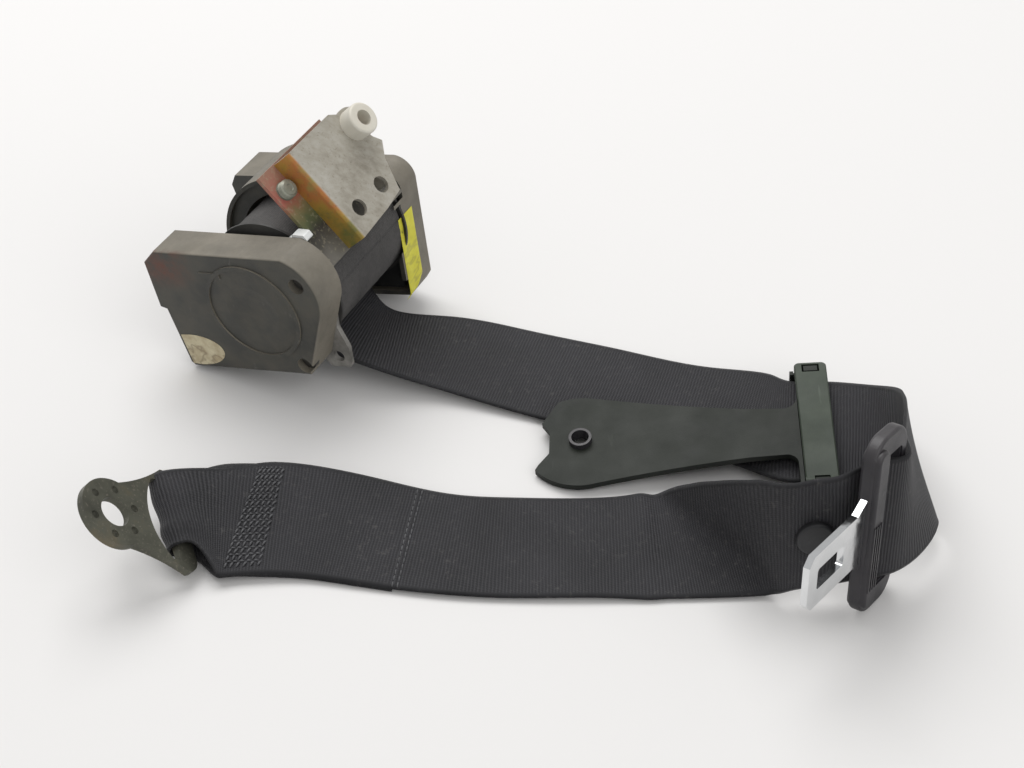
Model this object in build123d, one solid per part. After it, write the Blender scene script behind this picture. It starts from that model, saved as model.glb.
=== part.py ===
from build123d import *
import os
from copy import copy
from math import atan2, cos, degrees, hypot, pi, radians, sin

# Seat belt off the car: retractor, webbing, belt guide, tongue and anchor plate, lying on a table.
# All lengths are in mm. Z = 0 is the table, X runs along the belt, Y away from the viewer.

# How the retractor lies: its spool axis is turned from +Y and the body leans on its covers.
SPOOL_HEADING = 27.0
RETRACTOR_LEAN = 18.0
RETRACTOR_FOOT = (-126.5, 10.5)

# Retractor, in its own frame: x to the right, y along the spool from the front, z up.
AXIS_X = 44.0
AXIS_Z = 28.5
WEB_WIDTH = 48.0
WEB_THICK = 1.2
COVER_WALL = 2.0
COVER_DEPTH = 15.0
PLATE = 2.0
FLANGE = 1.0
RUNNING_GAP = 0.3
SLIDING_GAP = 0.06
ROLL_RADIUS = 27.0
DRUM_RADIUS = 14.0
FLANGE_RADIUS = 28.3
SHAFT_RADIUS = 5.0
BUSH_RADIUS = 9.0
BUSH_FLANGE_RADIUS = 11.0
BUSH_FLANGE = 1.0
SHROUD_RADIUS = 36.0
SHROUD_WALL = 1.6
SHROUD_LENGTH = 27.0
SHROUD_START = 88.0
SHROUD_END = 250.0
REAR_COVER_DEPTH = 19.0
REAR_RIM = 4.6
SPRING_RING_RADIUS = 21.0
SPRING_RING_WIDTH = 1.8
SPRING_RING_HEIGHT = 0.7
DISH_DEPTH = 0.9
SCREW_RADIUS = 2.2
SCREW_HEAD_RADIUS = 3.2
SCREW_HEAD = 2.0
SCREW_SINK = 3.0
SCREW_SHANK = 1.9
SCREW_SLOT = (0.9, 4.0)
SCREW_SLOT_DEPTH = 0.8
SCREW_PLACES = ((70.0, 41.5), (58.5, 4.7))
LUG_HOLE = (62.4, -1.6)
LUG_HOLE_RADIUS = 2.4
COVER_EDGE = 1.0
REAR_COVER_EDGE = 1.2
DISH_SHARE = 0.6
POST_WALL = 1.4
POST_INSET = 0.2
KEY_PLACE = (30.3, 44.8)
KEY_SIZE = (9.6, 2.6)
KEY_RISE = 0.5
PAD_PLACES = ((1.8, 41.5), (1.8, 8.0))
PAD_SIZE = 11.0
EXIT_PLACE = (52.0, -8.0)
EXIT_SIZE = (30.0, 16.0)
PLATE_CORNER = 1.5
FRONT_CORNERS = ((75.6, 28.0), (59.5, 0.3), (1.6, 0.3), (0.0, 2.0), (0.0, 27.5),
                 (-2.9, 28.5), (-0.8, 49.4), (6.4, 54.6), (67.0, 52.8))
FRONT_SHOULDER = (76.6, 42.6)
REAR_CORNERS = ((73.0, 37.5), (64.0, -7.2), (61.0, -10.4), (35.0, -10.9), (0.4, 0.3),
                (-5.0, 4.0), (-5.0, 44.5), (-1.5, 48.8), (66.0, 47.6))
REAR_SHOULDER = (71.4, 44.2)
FRONT_PLATE_CORNERS = ((8.0, 4.0), (52.0, 3.0), (57.0, -6.6), (66.6, -6.6), (68.6, 2.6), (67.0, 12.0),
                       (73.6, 37.6), (66.6, 50.2), (40.0, 50.2), (8.0, 48.0))
REAR_PLATE_CORNERS = ((3.0, 3.4), (34.0, -6.6), (59.5, -6.6), (70.6, 36.6), (66.6, 44.6), (9.6, 44.6),
                      (3.0, 40.0))
CLIP_FOOT_PLACE = (63.3, 51.4)
CLIP_FOOT_SIZE = (4.2, 2.3)
CLIP_CORNERS = ((62.4, 51.2), (69.6, 50.9), (68.4, 53.6), (63.2, 54.0))
CLIP_CORNER = 0.6
CLIP_REACH = 2.4
CLIP_INSET = 0.2

FRONT_PLATE_FRONT = COVER_DEPTH
FRONT_PLATE_BACK = FRONT_PLATE_FRONT + PLATE
SPOOL_FRONT = FRONT_PLATE_BACK + RUNNING_GAP
ROLL_FRONT = SPOOL_FRONT + FLANGE + RUNNING_GAP
ROLL_BACK = ROLL_FRONT + WEB_WIDTH
SPOOL_BACK = ROLL_BACK + RUNNING_GAP + FLANGE
REAR_PLATE_FRONT = SPOOL_BACK + RUNNING_GAP
REAR_PLATE_BACK = REAR_PLATE_FRONT + PLATE
REAR_COVER_FRONT = REAR_PLATE_FRONT - REAR_RIM
REAR_COVER_BACK = REAR_COVER_FRONT + REAR_COVER_DEPTH
ROLL_MIDDLE = (ROLL_FRONT + ROLL_BACK) / 2

# Return spring and its arbor, in the front cover.
ARBOR_RADIUS = 7.0
ARBOR_LENGTH = 9.0
SPRING_STRIP = 0.5
SPRING_PITCH = 1.6
SPRING_TURNS = 6
SPRING_WIDTH = 6.0
SPRING_FRONT = 4.0

# Locking side, in the rear cover.
WHEEL_TEETH = 18
WHEEL_RADIUS = 15.5
WHEEL_TOOTH = 2.2
WHEEL_THICK = 3.0
WHEEL_GAP = 1.4
PAWL_PIVOT = (20.5, 31.0)
PAWL_PIN_RADIUS = 2.0
PAWL_EYE_RADIUS = 4.0
PAWL_THICK = 2.6
PAWL_HALF = 3.0
PAWL_HEEL = 2.4
PAWL_REACH = 1.2
PAWL_HEAD = 1.0
PAWL_ANGLE = 205.0
TOOTH_CORNERS = (-0.15, 0.47, 0.75)
SENSOR_PLACE = (19.0, 10.5)
SENSOR_PIVOT = (SENSOR_PLACE[0] - 6.0, SENSOR_PLACE[1])
SENSOR_MIDDLE = REAR_PLATE_BACK + 5.2
SENSOR_WIDTH = 13.0
SENSOR_FLOOR = 1.6
SENSOR_TOP = 2.4
SENSOR_CHEEK = (3.4, 1.2)
SENSOR_CHEEK_RISE = 2.0
BALL_RADIUS = 4.0
BALL_DROP = 1.3
LEVER_PIN_RADIUS = 1.0
LEVER_EYE_RADIUS = 2.0
LEVER_SIZE = (16.0, 1.6)
LEVER_TIP_SIZE = (2.0, 6.0)
LEVER_TIP_RISE = 2.2
LEVER_START = 1.5

# Mounting bracket, in its own frame: x down along the web, y along the spool, z out from the axis.
BRACKET_ANGLE = 29.0
SHEET = 1.6
WEB_INNER = 29.2
WEB_TOP = 36.0
WEB_BOTTOM = 6.0
TAB_INNER = 24.0
WEB_NECK = 14.0
WEB_FRONT = 20.0
BRACKET_OUT = 41.0
BRACKET_FRONT = 30.0
BRACKET_BEND = 2.0
BRACKET_LEFT = -35.5
BRACKET_RIGHT = 5.8
BRACKET_CORNERS = ((-35.5, 58.0), (-33.0, 62.0), (-18.0, 68.0), (-14.5, 70.4), (-9.0, 65.3),
                   (3.4, 60.0), (4.8, 49.2))
BUSH_LAND = 1.2
HOLE_RADIUS = 3.35
HOLE_PLACES = ((-3.2, 38.6), (-3.2, 54.6))
LEG_PLACE = (-15.0, 59.2)
LEG_WIDTH = 14.0
BUSH_PLACE = (-26.0, 64.5)
MOUNT_BUSH_RADIUS = 6.4
MOUNT_BUSH_HEIGHT = 7.0
MOUNT_BUSH_BORE = 3.1
MOUNT_BUSH_SPIGOT = 4.4
STUB_PLACE = (-26.0, 25.6)
STUB_RADIUS = 2.4
STUB_HEAD_RADIUS = 3.6
STUB_HEAD = 3.6

# Belt guide, in its own frame: origin in the loop on the webbing, x from the hub to the loop.
GUIDE_PLACE = (112.3, -36.6, 9.4)
GUIDE_HEADING = -2.0
GUIDE_ROLL = 5.0
GUIDE_PITCH = 5.8
GUIDE_REACH = 86.5
GUIDE_SLOT = 52.4
GUIDE_SLOT_HALF = 2.6
GUIDE_WALL = 1.8
GUIDE_BAR = 2.0
GUIDE_SHEET = 2.6
LOOP_LENGTH = 12.2
HUB_RADIUS = 21.4
HUB_BORE = 3.3
HUB_BOSS_RADIUS = 4.3
HUB_BOSS = 2.4
ARM_SHIFT = -3.2
ARM_WAIST = (-24.0, 11.8)
ARM_SWELL = (-45.0, 14.4)
FAR_FLARE = ((-10.4, 11.2), (-6.6, 12.8), (-5.0, 16.4))
NEAR_FLARE = ((-10.6, -11.2), (-7.75, -12.4), (-6.5, -15.1))
HUB_BITE = ((-8.5, 22.0), (-8.5, 19.8), (-14.6, 9.5), (-11.6, 4.8), (-11.8, -5.5), (-15.6, -10.6),
            (-17.4, -14.0), (-40.0, -14.0), (-40.0, 22.0))
GATE_THICK = 2.4
GATE_LIFT = 0.4
GATE_PIN_RADIUS = 0.8
GATE_LEFT = -4.7
GATE_CORNER = 2.0
ARM_END = -5.0
WALL_START = -6.5
WALL_END = 5.2
NEAR_WALL_END = 2.6
LATCH_LENGTH = 6.6
LATCH_WIDTH = 3.8
LATCH_REACH = 3.6
LATCH_Y = 27.8
LATCH_MARGIN = 1.2
TOOTH_GAP = 0.7
LEDGE_THICK = 2.4
KNUCKLE_RADIUS = 1.8
KNUCKLE_WIDTH = 5.0
STALK_ROOT = 1.2
PIN_Y = -(GUIDE_SLOT + GUIDE_WALL) / 2
PIN_Z = GUIDE_SLOT_HALF + 1.9
GUIDE_SKEW = -5.5
STRAP_SHIFT = 0.6
STRAP_ROLL = -2.6

# Tongue, in its own frame: origin in the webbing slot, x along the blade, y along the slot.
TONGUE_PLACE = (124.8, -100.9, 33.4)
TONGUE_LEAN = 76.0
TONGUE_SWING = 53.0
TONGUE_LENGTH = 69.0
TONGUE_SLOT = 51.6
TONGUE_SLOT_WIDTH = 10.0
TONGUE_BAR = 4.4
TONGUE_GRIP = 9.6
GRIP_THICK = 5.0
GRIP_BULGE = 1.7
GRIP_BACK = 0.3
GRIP_RIBS = 4
GRIP_RIB_PITCH = 1.6
GRIP_RIB = (0.7, 26.0, 0.9)
GRIP_CORNER = 8.5
GRIP_EDGE = 1.2
PLATE_EDGE = 1.6
BLADE_THICK = 2.4
BLADE_LENGTH = 38.0
BLADE_WIDTH = 20.5
BLADE_ROOT = 27.0
BLADE_CORNER = 3.0
BLADE_SHOULDER = 6.0
PLATE_CORNERS = 5.0
PLATE_SHORT = 8.0
PLATE_CLEAR = 2.4
WINDOW_WIDTH = 8.0
WINDOW_LENGTH = 18.0
WINDOW_END = 6.0
TONGUE_CROSSING = 37.0

# Stop button on the webbing.
BUTTON_RADIUS = 6.6
BUTTON_HEIGHT = 2.6
BUTTON_RIVET = 1.6

# Anchor plate, in its own frame: origin at the bar inside the webbing loop, x to the eye.
ANCHOR_PLACE = (-119.5, -83.0, 10.3)
ANCHOR_EYE = (-136.9, -95.5, 28.3)
ANCHOR_THICK = 3.0
ANCHOR_BAR = 7.0
ANCHOR_EYE_RADIUS = 13.4
ANCHOR_BORE = 5.75
ANCHOR_RING = 9.4
ANCHOR_RING_HOLE = 1.5
ANCHOR_RING_COUNT = 6
ANCHOR_CORNER = 5.0
ANCHOR_SLOT_WIDTH = 9.0
ANCHOR_SLOT_LENGTH = 33.0
ANCHOR_HEAD = 42.0
LOOP_WIDTH = 30.0
LOOP_GAP = 0.5
LOOP_WALL = 1.4

# Webbing: centre of each station and the way its far edge leans, chosen by eye along the strap.
RUN_OUT = (
    ((-64.5, 26.6, 9.6), (0.34, 0.94, -0.14)),
    ((-50.0, 19.4, 6.2), (0.10, 0.97, -0.20)),
    ((-28.0, 15.6, 3.4), (0.18, 0.97, -0.10)),
    ((0.0, 7.6, 1.8), (0.28, 0.96, -0.03)),
    ((35.0, -4.4, 1.8), (0.32, 0.94, 0.01)),
    ((72.0, -17.5, 3.0), (0.30, 0.95, 0.03)),
    ((94.0, -27.6, 6.4), (0.26, 0.95, 0.12)),
)
RUN_TURN = (
    ((133.5, -43.5, 11.6), (0.14, 0.94, 0.30)),
    ((141.5, -58.0, 18.5), (-0.02, 0.70, 0.71)),
    ((144.0, -72.0, 26.6), (-0.33, 0.24, 0.91)),
    ((140.8, -84.0, 29.6), (-0.32, 0.18, 0.93)),
)
BUTTON_PLACE = (102.2, -106.4, 29.6)
BUTTON_RUN = (-0.985, -0.08, -0.15)
BUTTON_LEAN = (-0.08, 0.13, 0.99)
RUN_BACK = (
    ((83.5, -103.4, 23.4), (-0.17, 0.38, 0.91)),
    ((74.5, -98.0, 18.0), (-0.17, 0.66, 0.73)),
    ((66.0, -92.5, 11.6), (-0.12, 0.88, 0.46)),
    ((57.0, -88.6, 6.0), (-0.06, 0.97, 0.22)),
    ((45.0, -86.8, 2.4), (0.0, 1.0, 0.06)),
    ((33.0, -86.4, 1.4), (0.02, 1.0, 0.0)),
    ((0.0, -86.3, 1.2), (0.03, 1.0, 0.0)),
    ((-24.0, -84.6, 1.5), (0.13, 0.99, 0.0)),
)
RUN_DOUBLED = (
    ((-38.0, -82.6, 2.2), (0.16, 0.98, 0.03)),
    ((-54.0, -79.9, 3.6), (0.17, 0.98, 0.08)),
    ((-70.0, -77.5, 5.0), (0.10, 0.98, 0.13)),
    ((-88.0, -77.3, 6.9), (0.02, 0.98, 0.17)),
    ((-104.0, -79.3, 8.6), (-0.06, 0.98, 0.20)),
)
TONGUE_DROP = 1.5
SLOT_STRAIGHT = 6.0
BUTTON_STRAIGHT = 8.4
FOLD_THICK = 2.4
LAYER_GAP = 0.35

# Blank labels.
LABEL_THICK = 0.1
LABEL_CORNERS = ((1.2, 10.6), (20.3, 15.0), (15.8, 1.4), (1.6, 1.6))


def unit(vector):
    return Vector(*vector).normalized()


def place_retractor(shape):
    lean = Rot(0, -RETRACTOR_LEAN, 0)
    heading = Rot(0, 0, -SPOOL_HEADING)
    return Pos(RETRACTOR_FOOT[0], RETRACTOR_FOOT[1], 0) * heading * lean * shape


def place_bracket(shape):
    return place_retractor(Pos(AXIS_X, 0, AXIS_Z) * Rot(0, 90 - BRACKET_ANGLE, 0) * shape)


def place_guide(shape):
    turn = Rot(0, 0, GUIDE_HEADING) * Rot(0, -GUIDE_PITCH, 0) * Rot(GUIDE_ROLL, 0, 0)
    return Pos(*GUIDE_PLACE) * turn * shape


def tongue_plane():
    lean = radians(TONGUE_LEAN)
    swing = radians(TONGUE_SWING)
    slot = Vector(0, cos(lean), sin(lean))
    level = Vector(0, -sin(lean), cos(lean))
    blade = Vector(-1, 0, 0) * cos(swing) + level * sin(swing)
    return Plane(origin=TONGUE_PLACE, x_dir=blade, z_dir=blade.cross(slot))


def place_tongue(shape):
    return tongue_plane().location * shape


def anchor_plane():
    reach = Vector(*ANCHOR_EYE) - Vector(*ANCHOR_PLACE)
    normal = Vector(0.68, 0.02, 0.72)
    normal = normal - reach * (normal.dot(reach) / reach.dot(reach))
    return Plane(origin=ANCHOR_PLACE, x_dir=reach, z_dir=normal)


def place_anchor(shape):
    return anchor_plane().location * shape


def slab(sketch, front, back):
    plane = Plane(origin=(0, back, 0), x_dir=(1, 0, 0), z_dir=(0, -1, 0))
    return extrude(plane * sketch, amount=back - front)


def disc(radius, front, back, x=AXIS_X, z=AXIS_Z):
    return slab(Pos(x, z) * Circle(radius), front, back)


def ring(outer, inner, front, back, x=AXIS_X, z=AXIS_Z):
    return slab(Pos(x, z) * (Circle(outer) - Circle(inner)), front, back)


def rounded(points, radius):
    return make_face(FilletPolyline(*points, radius=radius, close=True))


def front_outline():
    corner = Polyline(*FRONT_CORNERS)
    shoulder = ThreePointArc(FRONT_CORNERS[-1], FRONT_SHOULDER, FRONT_CORNERS[0])
    return make_face(corner + shoulder)


def rear_outline():
    corner = Polyline(*REAR_CORNERS)
    shoulder = ThreePointArc(REAR_CORNERS[-1], REAR_SHOULDER, REAR_CORNERS[0])
    return make_face(corner + shoulder)


def front_cover():
    body = slab(front_outline(), 0, COVER_DEPTH)
    body = fillet(body.faces().sort_by(Axis.Y)[0].edges(), COVER_EDGE)
    body -= slab(offset(front_outline(), -COVER_WALL), COVER_WALL, COVER_DEPTH)
    ridge = ring(SPRING_RING_RADIUS, SPRING_RING_RADIUS - SPRING_RING_WIDTH,
                 -SPRING_RING_HEIGHT, COVER_WALL / 2)
    body += ridge
    dish_radius = (SPRING_RING_RADIUS - SPRING_RING_WIDTH) * DISH_SHARE
    ball = (dish_radius ** 2 + DISH_DEPTH ** 2) / (2 * DISH_DEPTH)
    body -= Pos(AXIS_X, DISH_DEPTH - ball, AXIS_Z) * Sphere(ball)
    for x, z in SCREW_PLACES:
        post = disc(SCREW_HEAD_RADIUS + POST_WALL, COVER_WALL / 2, COVER_DEPTH, x, z)
        body += post & slab(front_outline(), POST_INSET, COVER_DEPTH)
        body -= disc(SCREW_HEAD_RADIUS + SLIDING_GAP, -1, SCREW_SINK + SCREW_HEAD, x, z)
        body -= disc(SCREW_RADIUS + SLIDING_GAP, -1, COVER_DEPTH, x, z)
    key = slab(Pos(*KEY_PLACE) * Rectangle(*KEY_SIZE), -KEY_RISE, COVER_WALL / 2)
    return body + key


def rear_cover():
    inner = offset(rear_outline(), -COVER_WALL)
    body = slab(rear_outline(), REAR_COVER_FRONT, REAR_COVER_BACK)
    body = fillet(body.faces().sort_by(Axis.Y)[-1].edges(), REAR_COVER_EDGE)
    body -= slab(inner, REAR_COVER_FRONT, REAR_COVER_BACK - COVER_WALL)
    for x, z in PAD_PLACES:
        pad = slab(Pos(x, z) * Rectangle(PAD_SIZE, PAD_SIZE), REAR_COVER_FRONT, REAR_PLATE_FRONT)
        body += pad & slab(rear_outline(), REAR_COVER_FRONT, REAR_COVER_BACK)
        body -= disc(SCREW_RADIUS, REAR_COVER_FRONT, REAR_PLATE_FRONT, x, z)
    body -= disc(FLANGE_RADIUS + RUNNING_GAP, REAR_COVER_FRONT, REAR_PLATE_FRONT)
    exit_gap = slab(Pos(*EXIT_PLACE) * Rectangle(*EXIT_SIZE), REAR_COVER_FRONT, REAR_PLATE_FRONT)
    return body - exit_gap


def front_plate_outline():
    return rounded(FRONT_PLATE_CORNERS, PLATE_CORNER)


def rear_plate_outline():
    return rounded(REAR_PLATE_CORNERS, PLATE_CORNER)


def front_plate():
    plate = slab(front_plate_outline(), FRONT_PLATE_FRONT, FRONT_PLATE_BACK)
    plate -= disc(BUSH_RADIUS, FRONT_PLATE_FRONT, FRONT_PLATE_BACK)
    return plate - disc(LUG_HOLE_RADIUS, FRONT_PLATE_FRONT, FRONT_PLATE_BACK, *LUG_HOLE)


def rear_plate():
    plate = slab(rear_plate_outline(), REAR_PLATE_FRONT, REAR_PLATE_BACK)
    plate -= disc(BUSH_RADIUS, REAR_PLATE_FRONT, REAR_PLATE_BACK)
    return plate - disc(PAWL_PIN_RADIUS, REAR_PLATE_FRONT, REAR_PLATE_BACK, *PAWL_PIVOT)


def frame_web():
    wide = Pos((WEB_BOTTOM - WEB_TOP) / 2, (WEB_FRONT + REAR_COVER_FRONT - 1) / 2, WEB_INNER + SHEET / 2)
    web = wide * Box(WEB_BOTTOM + WEB_TOP, REAR_COVER_FRONT - 1 - WEB_FRONT, SHEET)
    strap = Pos(WEB_BOTTOM - WEB_NECK / 2, (FRONT_PLATE_FRONT + REAR_PLATE_BACK) / 2, WEB_INNER + SHEET / 2)
    web += strap * Box(WEB_NECK, REAR_PLATE_BACK - FRONT_PLATE_FRONT, SHEET)
    tab = WEB_INNER + SHEET - TAB_INNER
    web += Pos(WEB_BOTTOM - WEB_NECK / 2, (REAR_PLATE_FRONT + REAR_PLATE_BACK) / 2, TAB_INNER + tab / 2) * Box(
        WEB_NECK, PLATE, tab)
    web -= Pos(STUB_PLACE[0], STUB_PLACE[1], WEB_INNER) * Cylinder(STUB_RADIUS, 4 * SHEET)
    return web


def frame():
    body = place_retractor(front_plate() + rear_plate()) + place_bracket(frame_web())
    for x, z in SCREW_PLACES:
        body -= place_retractor(disc(SCREW_SHANK + SLIDING_GAP, FRONT_PLATE_FRONT, FRONT_PLATE_BACK, x, z))
    return body


def sector(outer, inner, front, back, start, end):
    middle = (AXIS_X, AXIS_Z)
    rim = CenterArc(middle, outer, start, end - start)
    bore = CenterArc(middle, inner, start, end - start)
    edges = rim + bore + Line(rim @ 0, bore @ 0) + Line(rim @ 1, bore @ 1)
    return slab(make_face(edges), front, back)


def spool_shroud():
    start = REAR_COVER_FRONT - SHROUD_LENGTH
    inner = SHROUD_RADIUS - SHROUD_WALL
    shell = sector(SHROUD_RADIUS, inner, start, REAR_COVER_FRONT, SHROUD_START, SHROUD_END)
    lip_front = start + SHROUD_WALL
    lip = sector(inner + 0.2, FLANGE_RADIUS + RUNNING_GAP, lip_front, lip_front + SHROUD_WALL,
                 SHROUD_START, SHROUD_END)
    return shell + lip


def spool():
    body = disc(DRUM_RADIUS, SPOOL_FRONT, SPOOL_BACK)
    body += disc(FLANGE_RADIUS, SPOOL_FRONT, SPOOL_FRONT + FLANGE)
    body += disc(FLANGE_RADIUS, SPOOL_BACK - FLANGE, SPOOL_BACK)
    return body - disc(SHAFT_RADIUS + SLIDING_GAP, SPOOL_FRONT, SPOOL_BACK)


def webbing_roll():
    return ring(ROLL_RADIUS, DRUM_RADIUS + SLIDING_GAP, ROLL_FRONT, ROLL_BACK)


def torsion_shaft():
    body = disc(SHAFT_RADIUS, COVER_WALL + 1.0, REAR_COVER_BACK - COVER_WALL - 1.0)
    key = slab(Pos(AXIS_X, AXIS_Z) * Rectangle(1.4, 4 * SHAFT_RADIUS), COVER_WALL, SPRING_FRONT)
    return body - key


def bush(plate_front, plate_back, flange_front):
    body = ring(BUSH_RADIUS - SLIDING_GAP, SHAFT_RADIUS + SLIDING_GAP, plate_front, plate_back)
    flange_back = flange_front + BUSH_FLANGE
    return body + ring(BUSH_FLANGE_RADIUS, SHAFT_RADIUS + SLIDING_GAP, flange_front, flange_back)


def spring_arbor():
    return ring(ARBOR_RADIUS, SHAFT_RADIUS + SLIDING_GAP, SPRING_FRONT, SPRING_FRONT + ARBOR_LENGTH)


def return_spring():
    back = SPRING_FRONT + SPRING_WIDTH
    radius = ARBOR_RADIUS + RUNNING_GAP + SPRING_PITCH / 4 + SPRING_STRIP
    strip = None
    for half in range(2 * SPRING_TURNS):
        shift = SPRING_PITCH / 4 if half % 2 else -SPRING_PITCH / 4
        outer = radius + half * SPRING_PITCH / 2
        band = Circle(outer) - Circle(outer - SPRING_STRIP)
        side = 1 if half % 2 else -1
        half_band = band & Pos(0, side * 2 * outer) * Rectangle(4 * outer, 4 * outer)
        piece = Pos(AXIS_X + shift, AXIS_Z) * half_band
        strip = piece if strip is None else strip + piece
    return slab(strip, SPRING_FRONT, back)


def lock_wheel():
    points = []
    pitch = 2 * pi / WHEEL_TEETH
    for tooth in range(WHEEL_TEETH):
        angle = tooth * pitch + radians(PAWL_ANGLE)
        for radius, part in zip((WHEEL_RADIUS - WHEEL_TOOTH, WHEEL_RADIUS, WHEEL_RADIUS), TOOTH_CORNERS):
            turn = angle + part * pitch
            points.append((AXIS_X + radius * cos(turn), AXIS_Z + radius * sin(turn)))
    front = REAR_PLATE_BACK + WHEEL_GAP
    wheel = slab(make_face(Polyline(*points, close=True)), front, front + WHEEL_THICK)
    return wheel - disc(SHAFT_RADIUS + SLIDING_GAP, front, front + WHEEL_THICK)


def pawl_tip():
    angle = radians(PAWL_ANGLE)
    reach = WHEEL_RADIUS + PAWL_REACH
    return (AXIS_X + reach * cos(angle), AXIS_Z + reach * sin(angle))


def lock_pawl():
    front = REAR_PLATE_BACK + WHEEL_GAP
    x, z = PAWL_PIVOT
    tip_x, tip_z = pawl_tip()
    along = Vector(tip_x - x, tip_z - z).normalized()
    side = Vector(-along.Y, along.X)
    heel = Vector(tip_x, tip_z) - along * 0.4
    points = [Vector(x, z) + side * PAWL_HALF, Vector(tip_x, tip_z) + side * 0.2,
              heel - side * PAWL_HEEL, Vector(x, z) - side * PAWL_HALF]
    blade = make_face(Polyline(*[(p.X, p.Y) for p in points], close=True))
    body = slab(blade + Pos(x, z) * Circle(PAWL_EYE_RADIUS), front, front + PAWL_THICK)
    return body - disc(PAWL_PIN_RADIUS + SLIDING_GAP, front, front + PAWL_THICK, x, z)


def pawl_pin():
    head_back = REAR_PLATE_BACK + WHEEL_GAP + PAWL_THICK + RUNNING_GAP
    pin = disc(PAWL_PIN_RADIUS, REAR_PLATE_BACK, head_back, *PAWL_PIVOT)
    pin += disc(PAWL_PIN_RADIUS - SLIDING_GAP, REAR_PLATE_FRONT, REAR_PLATE_BACK, *PAWL_PIVOT)
    return pin + disc(PAWL_PIN_RADIUS + PAWL_HEAD, head_back, head_back + PAWL_HEAD, *PAWL_PIVOT)


def ball_centre():
    return Vector(SENSOR_PLACE[0], SENSOR_MIDDLE, SENSOR_PLACE[1] - BALL_RADIUS - BALL_DROP)


def sensor_housing():
    x, z = SENSOR_PLACE
    ball = ball_centre()
    floor = ball.Z - BALL_RADIUS - SENSOR_FLOOR
    top = z - SENSOR_TOP
    cheek_top = z + SENSOR_CHEEK_RISE
    back = REAR_COVER_BACK - COVER_WALL - RUNNING_GAP
    block = slab(Pos(x, (floor + top) / 2) * Rectangle(SENSOR_WIDTH, top - floor), REAR_PLATE_BACK, back)
    pocket = BALL_RADIUS + RUNNING_GAP
    block -= Pos(ball) * Sphere(pocket)
    block -= Pos(ball + Vector(0, 0, pocket)) * Cylinder(pocket, 2 * pocket)
    cheek = Pos(SENSOR_PIVOT[0], (floor + cheek_top) / 2) * Rectangle(SENSOR_CHEEK[0], cheek_top - floor)
    cheek = slab(cheek, REAR_PLATE_BACK, REAR_PLATE_BACK + SENSOR_CHEEK[1])
    pin = disc(LEVER_PIN_RADIUS, REAR_PLATE_BACK, back, *SENSOR_PIVOT)
    return block + cheek + pin


def sensor_ball():
    return Pos(ball_centre()) * Sphere(BALL_RADIUS)


def sensor_lever():
    front = REAR_PLATE_BACK + LEVER_START
    back = REAR_COVER_BACK - COVER_WALL - 1.0
    x, z = SENSOR_PIVOT
    reach = LEVER_SIZE[0]
    outline = Pos(x + reach / 2, z) * Rectangle(*LEVER_SIZE) + Pos(x, z) * Circle(LEVER_EYE_RADIUS)
    outline += Pos(x + reach, z + LEVER_TIP_RISE) * Rectangle(*LEVER_TIP_SIZE)
    return slab(outline, front, back) - disc(LEVER_PIN_RADIUS + SLIDING_GAP, front, back, x, z)


def cover_screw(x, z):
    head = disc(SCREW_HEAD_RADIUS, SCREW_SINK, SCREW_SINK + SCREW_HEAD, x, z)
    head -= slab(Pos(x, z) * Rectangle(*SCREW_SLOT), SCREW_SINK, SCREW_SINK + SCREW_SLOT_DEPTH)
    return head + disc(SCREW_SHANK, SCREW_SINK, FRONT_PLATE_BACK, x, z)


def frame_clip():
    front = FRONT_PLATE_FRONT + CLIP_INSET
    foot = slab(Pos(*CLIP_FOOT_PLACE) * Rectangle(*CLIP_FOOT_SIZE), front, FRONT_PLATE_BACK)
    head = slab(rounded(CLIP_CORNERS, CLIP_CORNER), front, FRONT_PLATE_BACK + CLIP_REACH)
    return foot + head


def bracket_outline():
    points = ((BRACKET_LEFT, BRACKET_FRONT), *BRACKET_CORNERS, (BRACKET_RIGHT, BRACKET_FRONT))
    land = Pos(*BUSH_PLACE) * Circle(MOUNT_BUSH_RADIUS + BUSH_LAND)
    return make_face(Polyline(*points, close=True)) + land


def bracket_plate():
    top = BRACKET_OUT - SHEET
    foot = WEB_INNER + SHEET
    body = Pos(0, 0, top) * extrude(bracket_outline(), amount=SHEET)
    width = BRACKET_RIGHT - BRACKET_LEFT
    flange = Box(width, SHEET, BRACKET_OUT - foot, align=(Align.MIN, Align.MIN, Align.MIN))
    body += Pos(BRACKET_LEFT, BRACKET_FRONT, foot) * flange
    fold = body.edges().filter_by(Axis.X).group_by(Axis.Z)[-1].sort_by(Axis.Y)[0]
    body = fillet(fold, BRACKET_BEND)
    leg = Box(LEG_WIDTH, SHEET, top - foot + 0.2, align=(Align.MIN, Align.MIN, Align.MIN))
    body += Pos(LEG_PLACE[0], LEG_PLACE[1], foot) * leg
    middle = top + SHEET / 2
    for x, y in HOLE_PLACES:
        body -= Pos(x, y, middle) * Cylinder(HOLE_RADIUS, SHEET + RUNNING_GAP)
    return body - Pos(BUSH_PLACE[0], BUSH_PLACE[1], middle) * Cylinder(MOUNT_BUSH_SPIGOT, SHEET + RUNNING_GAP)


def mount_bush():
    base = (Align.CENTER, Align.CENTER, Align.MIN)
    body = Cylinder(MOUNT_BUSH_RADIUS, MOUNT_BUSH_HEIGHT, align=base)
    body = fillet(body.edges().sort_by(Axis.Z)[-1], 1.0)
    spigot = Cylinder(MOUNT_BUSH_SPIGOT - SLIDING_GAP, SHEET + 1.0, align=base)
    body += Pos(0, 0, -SHEET - 1.0) * spigot
    body -= Cylinder(MOUNT_BUSH_BORE, 4 * MOUNT_BUSH_HEIGHT)
    return Pos(BUSH_PLACE[0], BUSH_PLACE[1], BRACKET_OUT) * body


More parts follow.
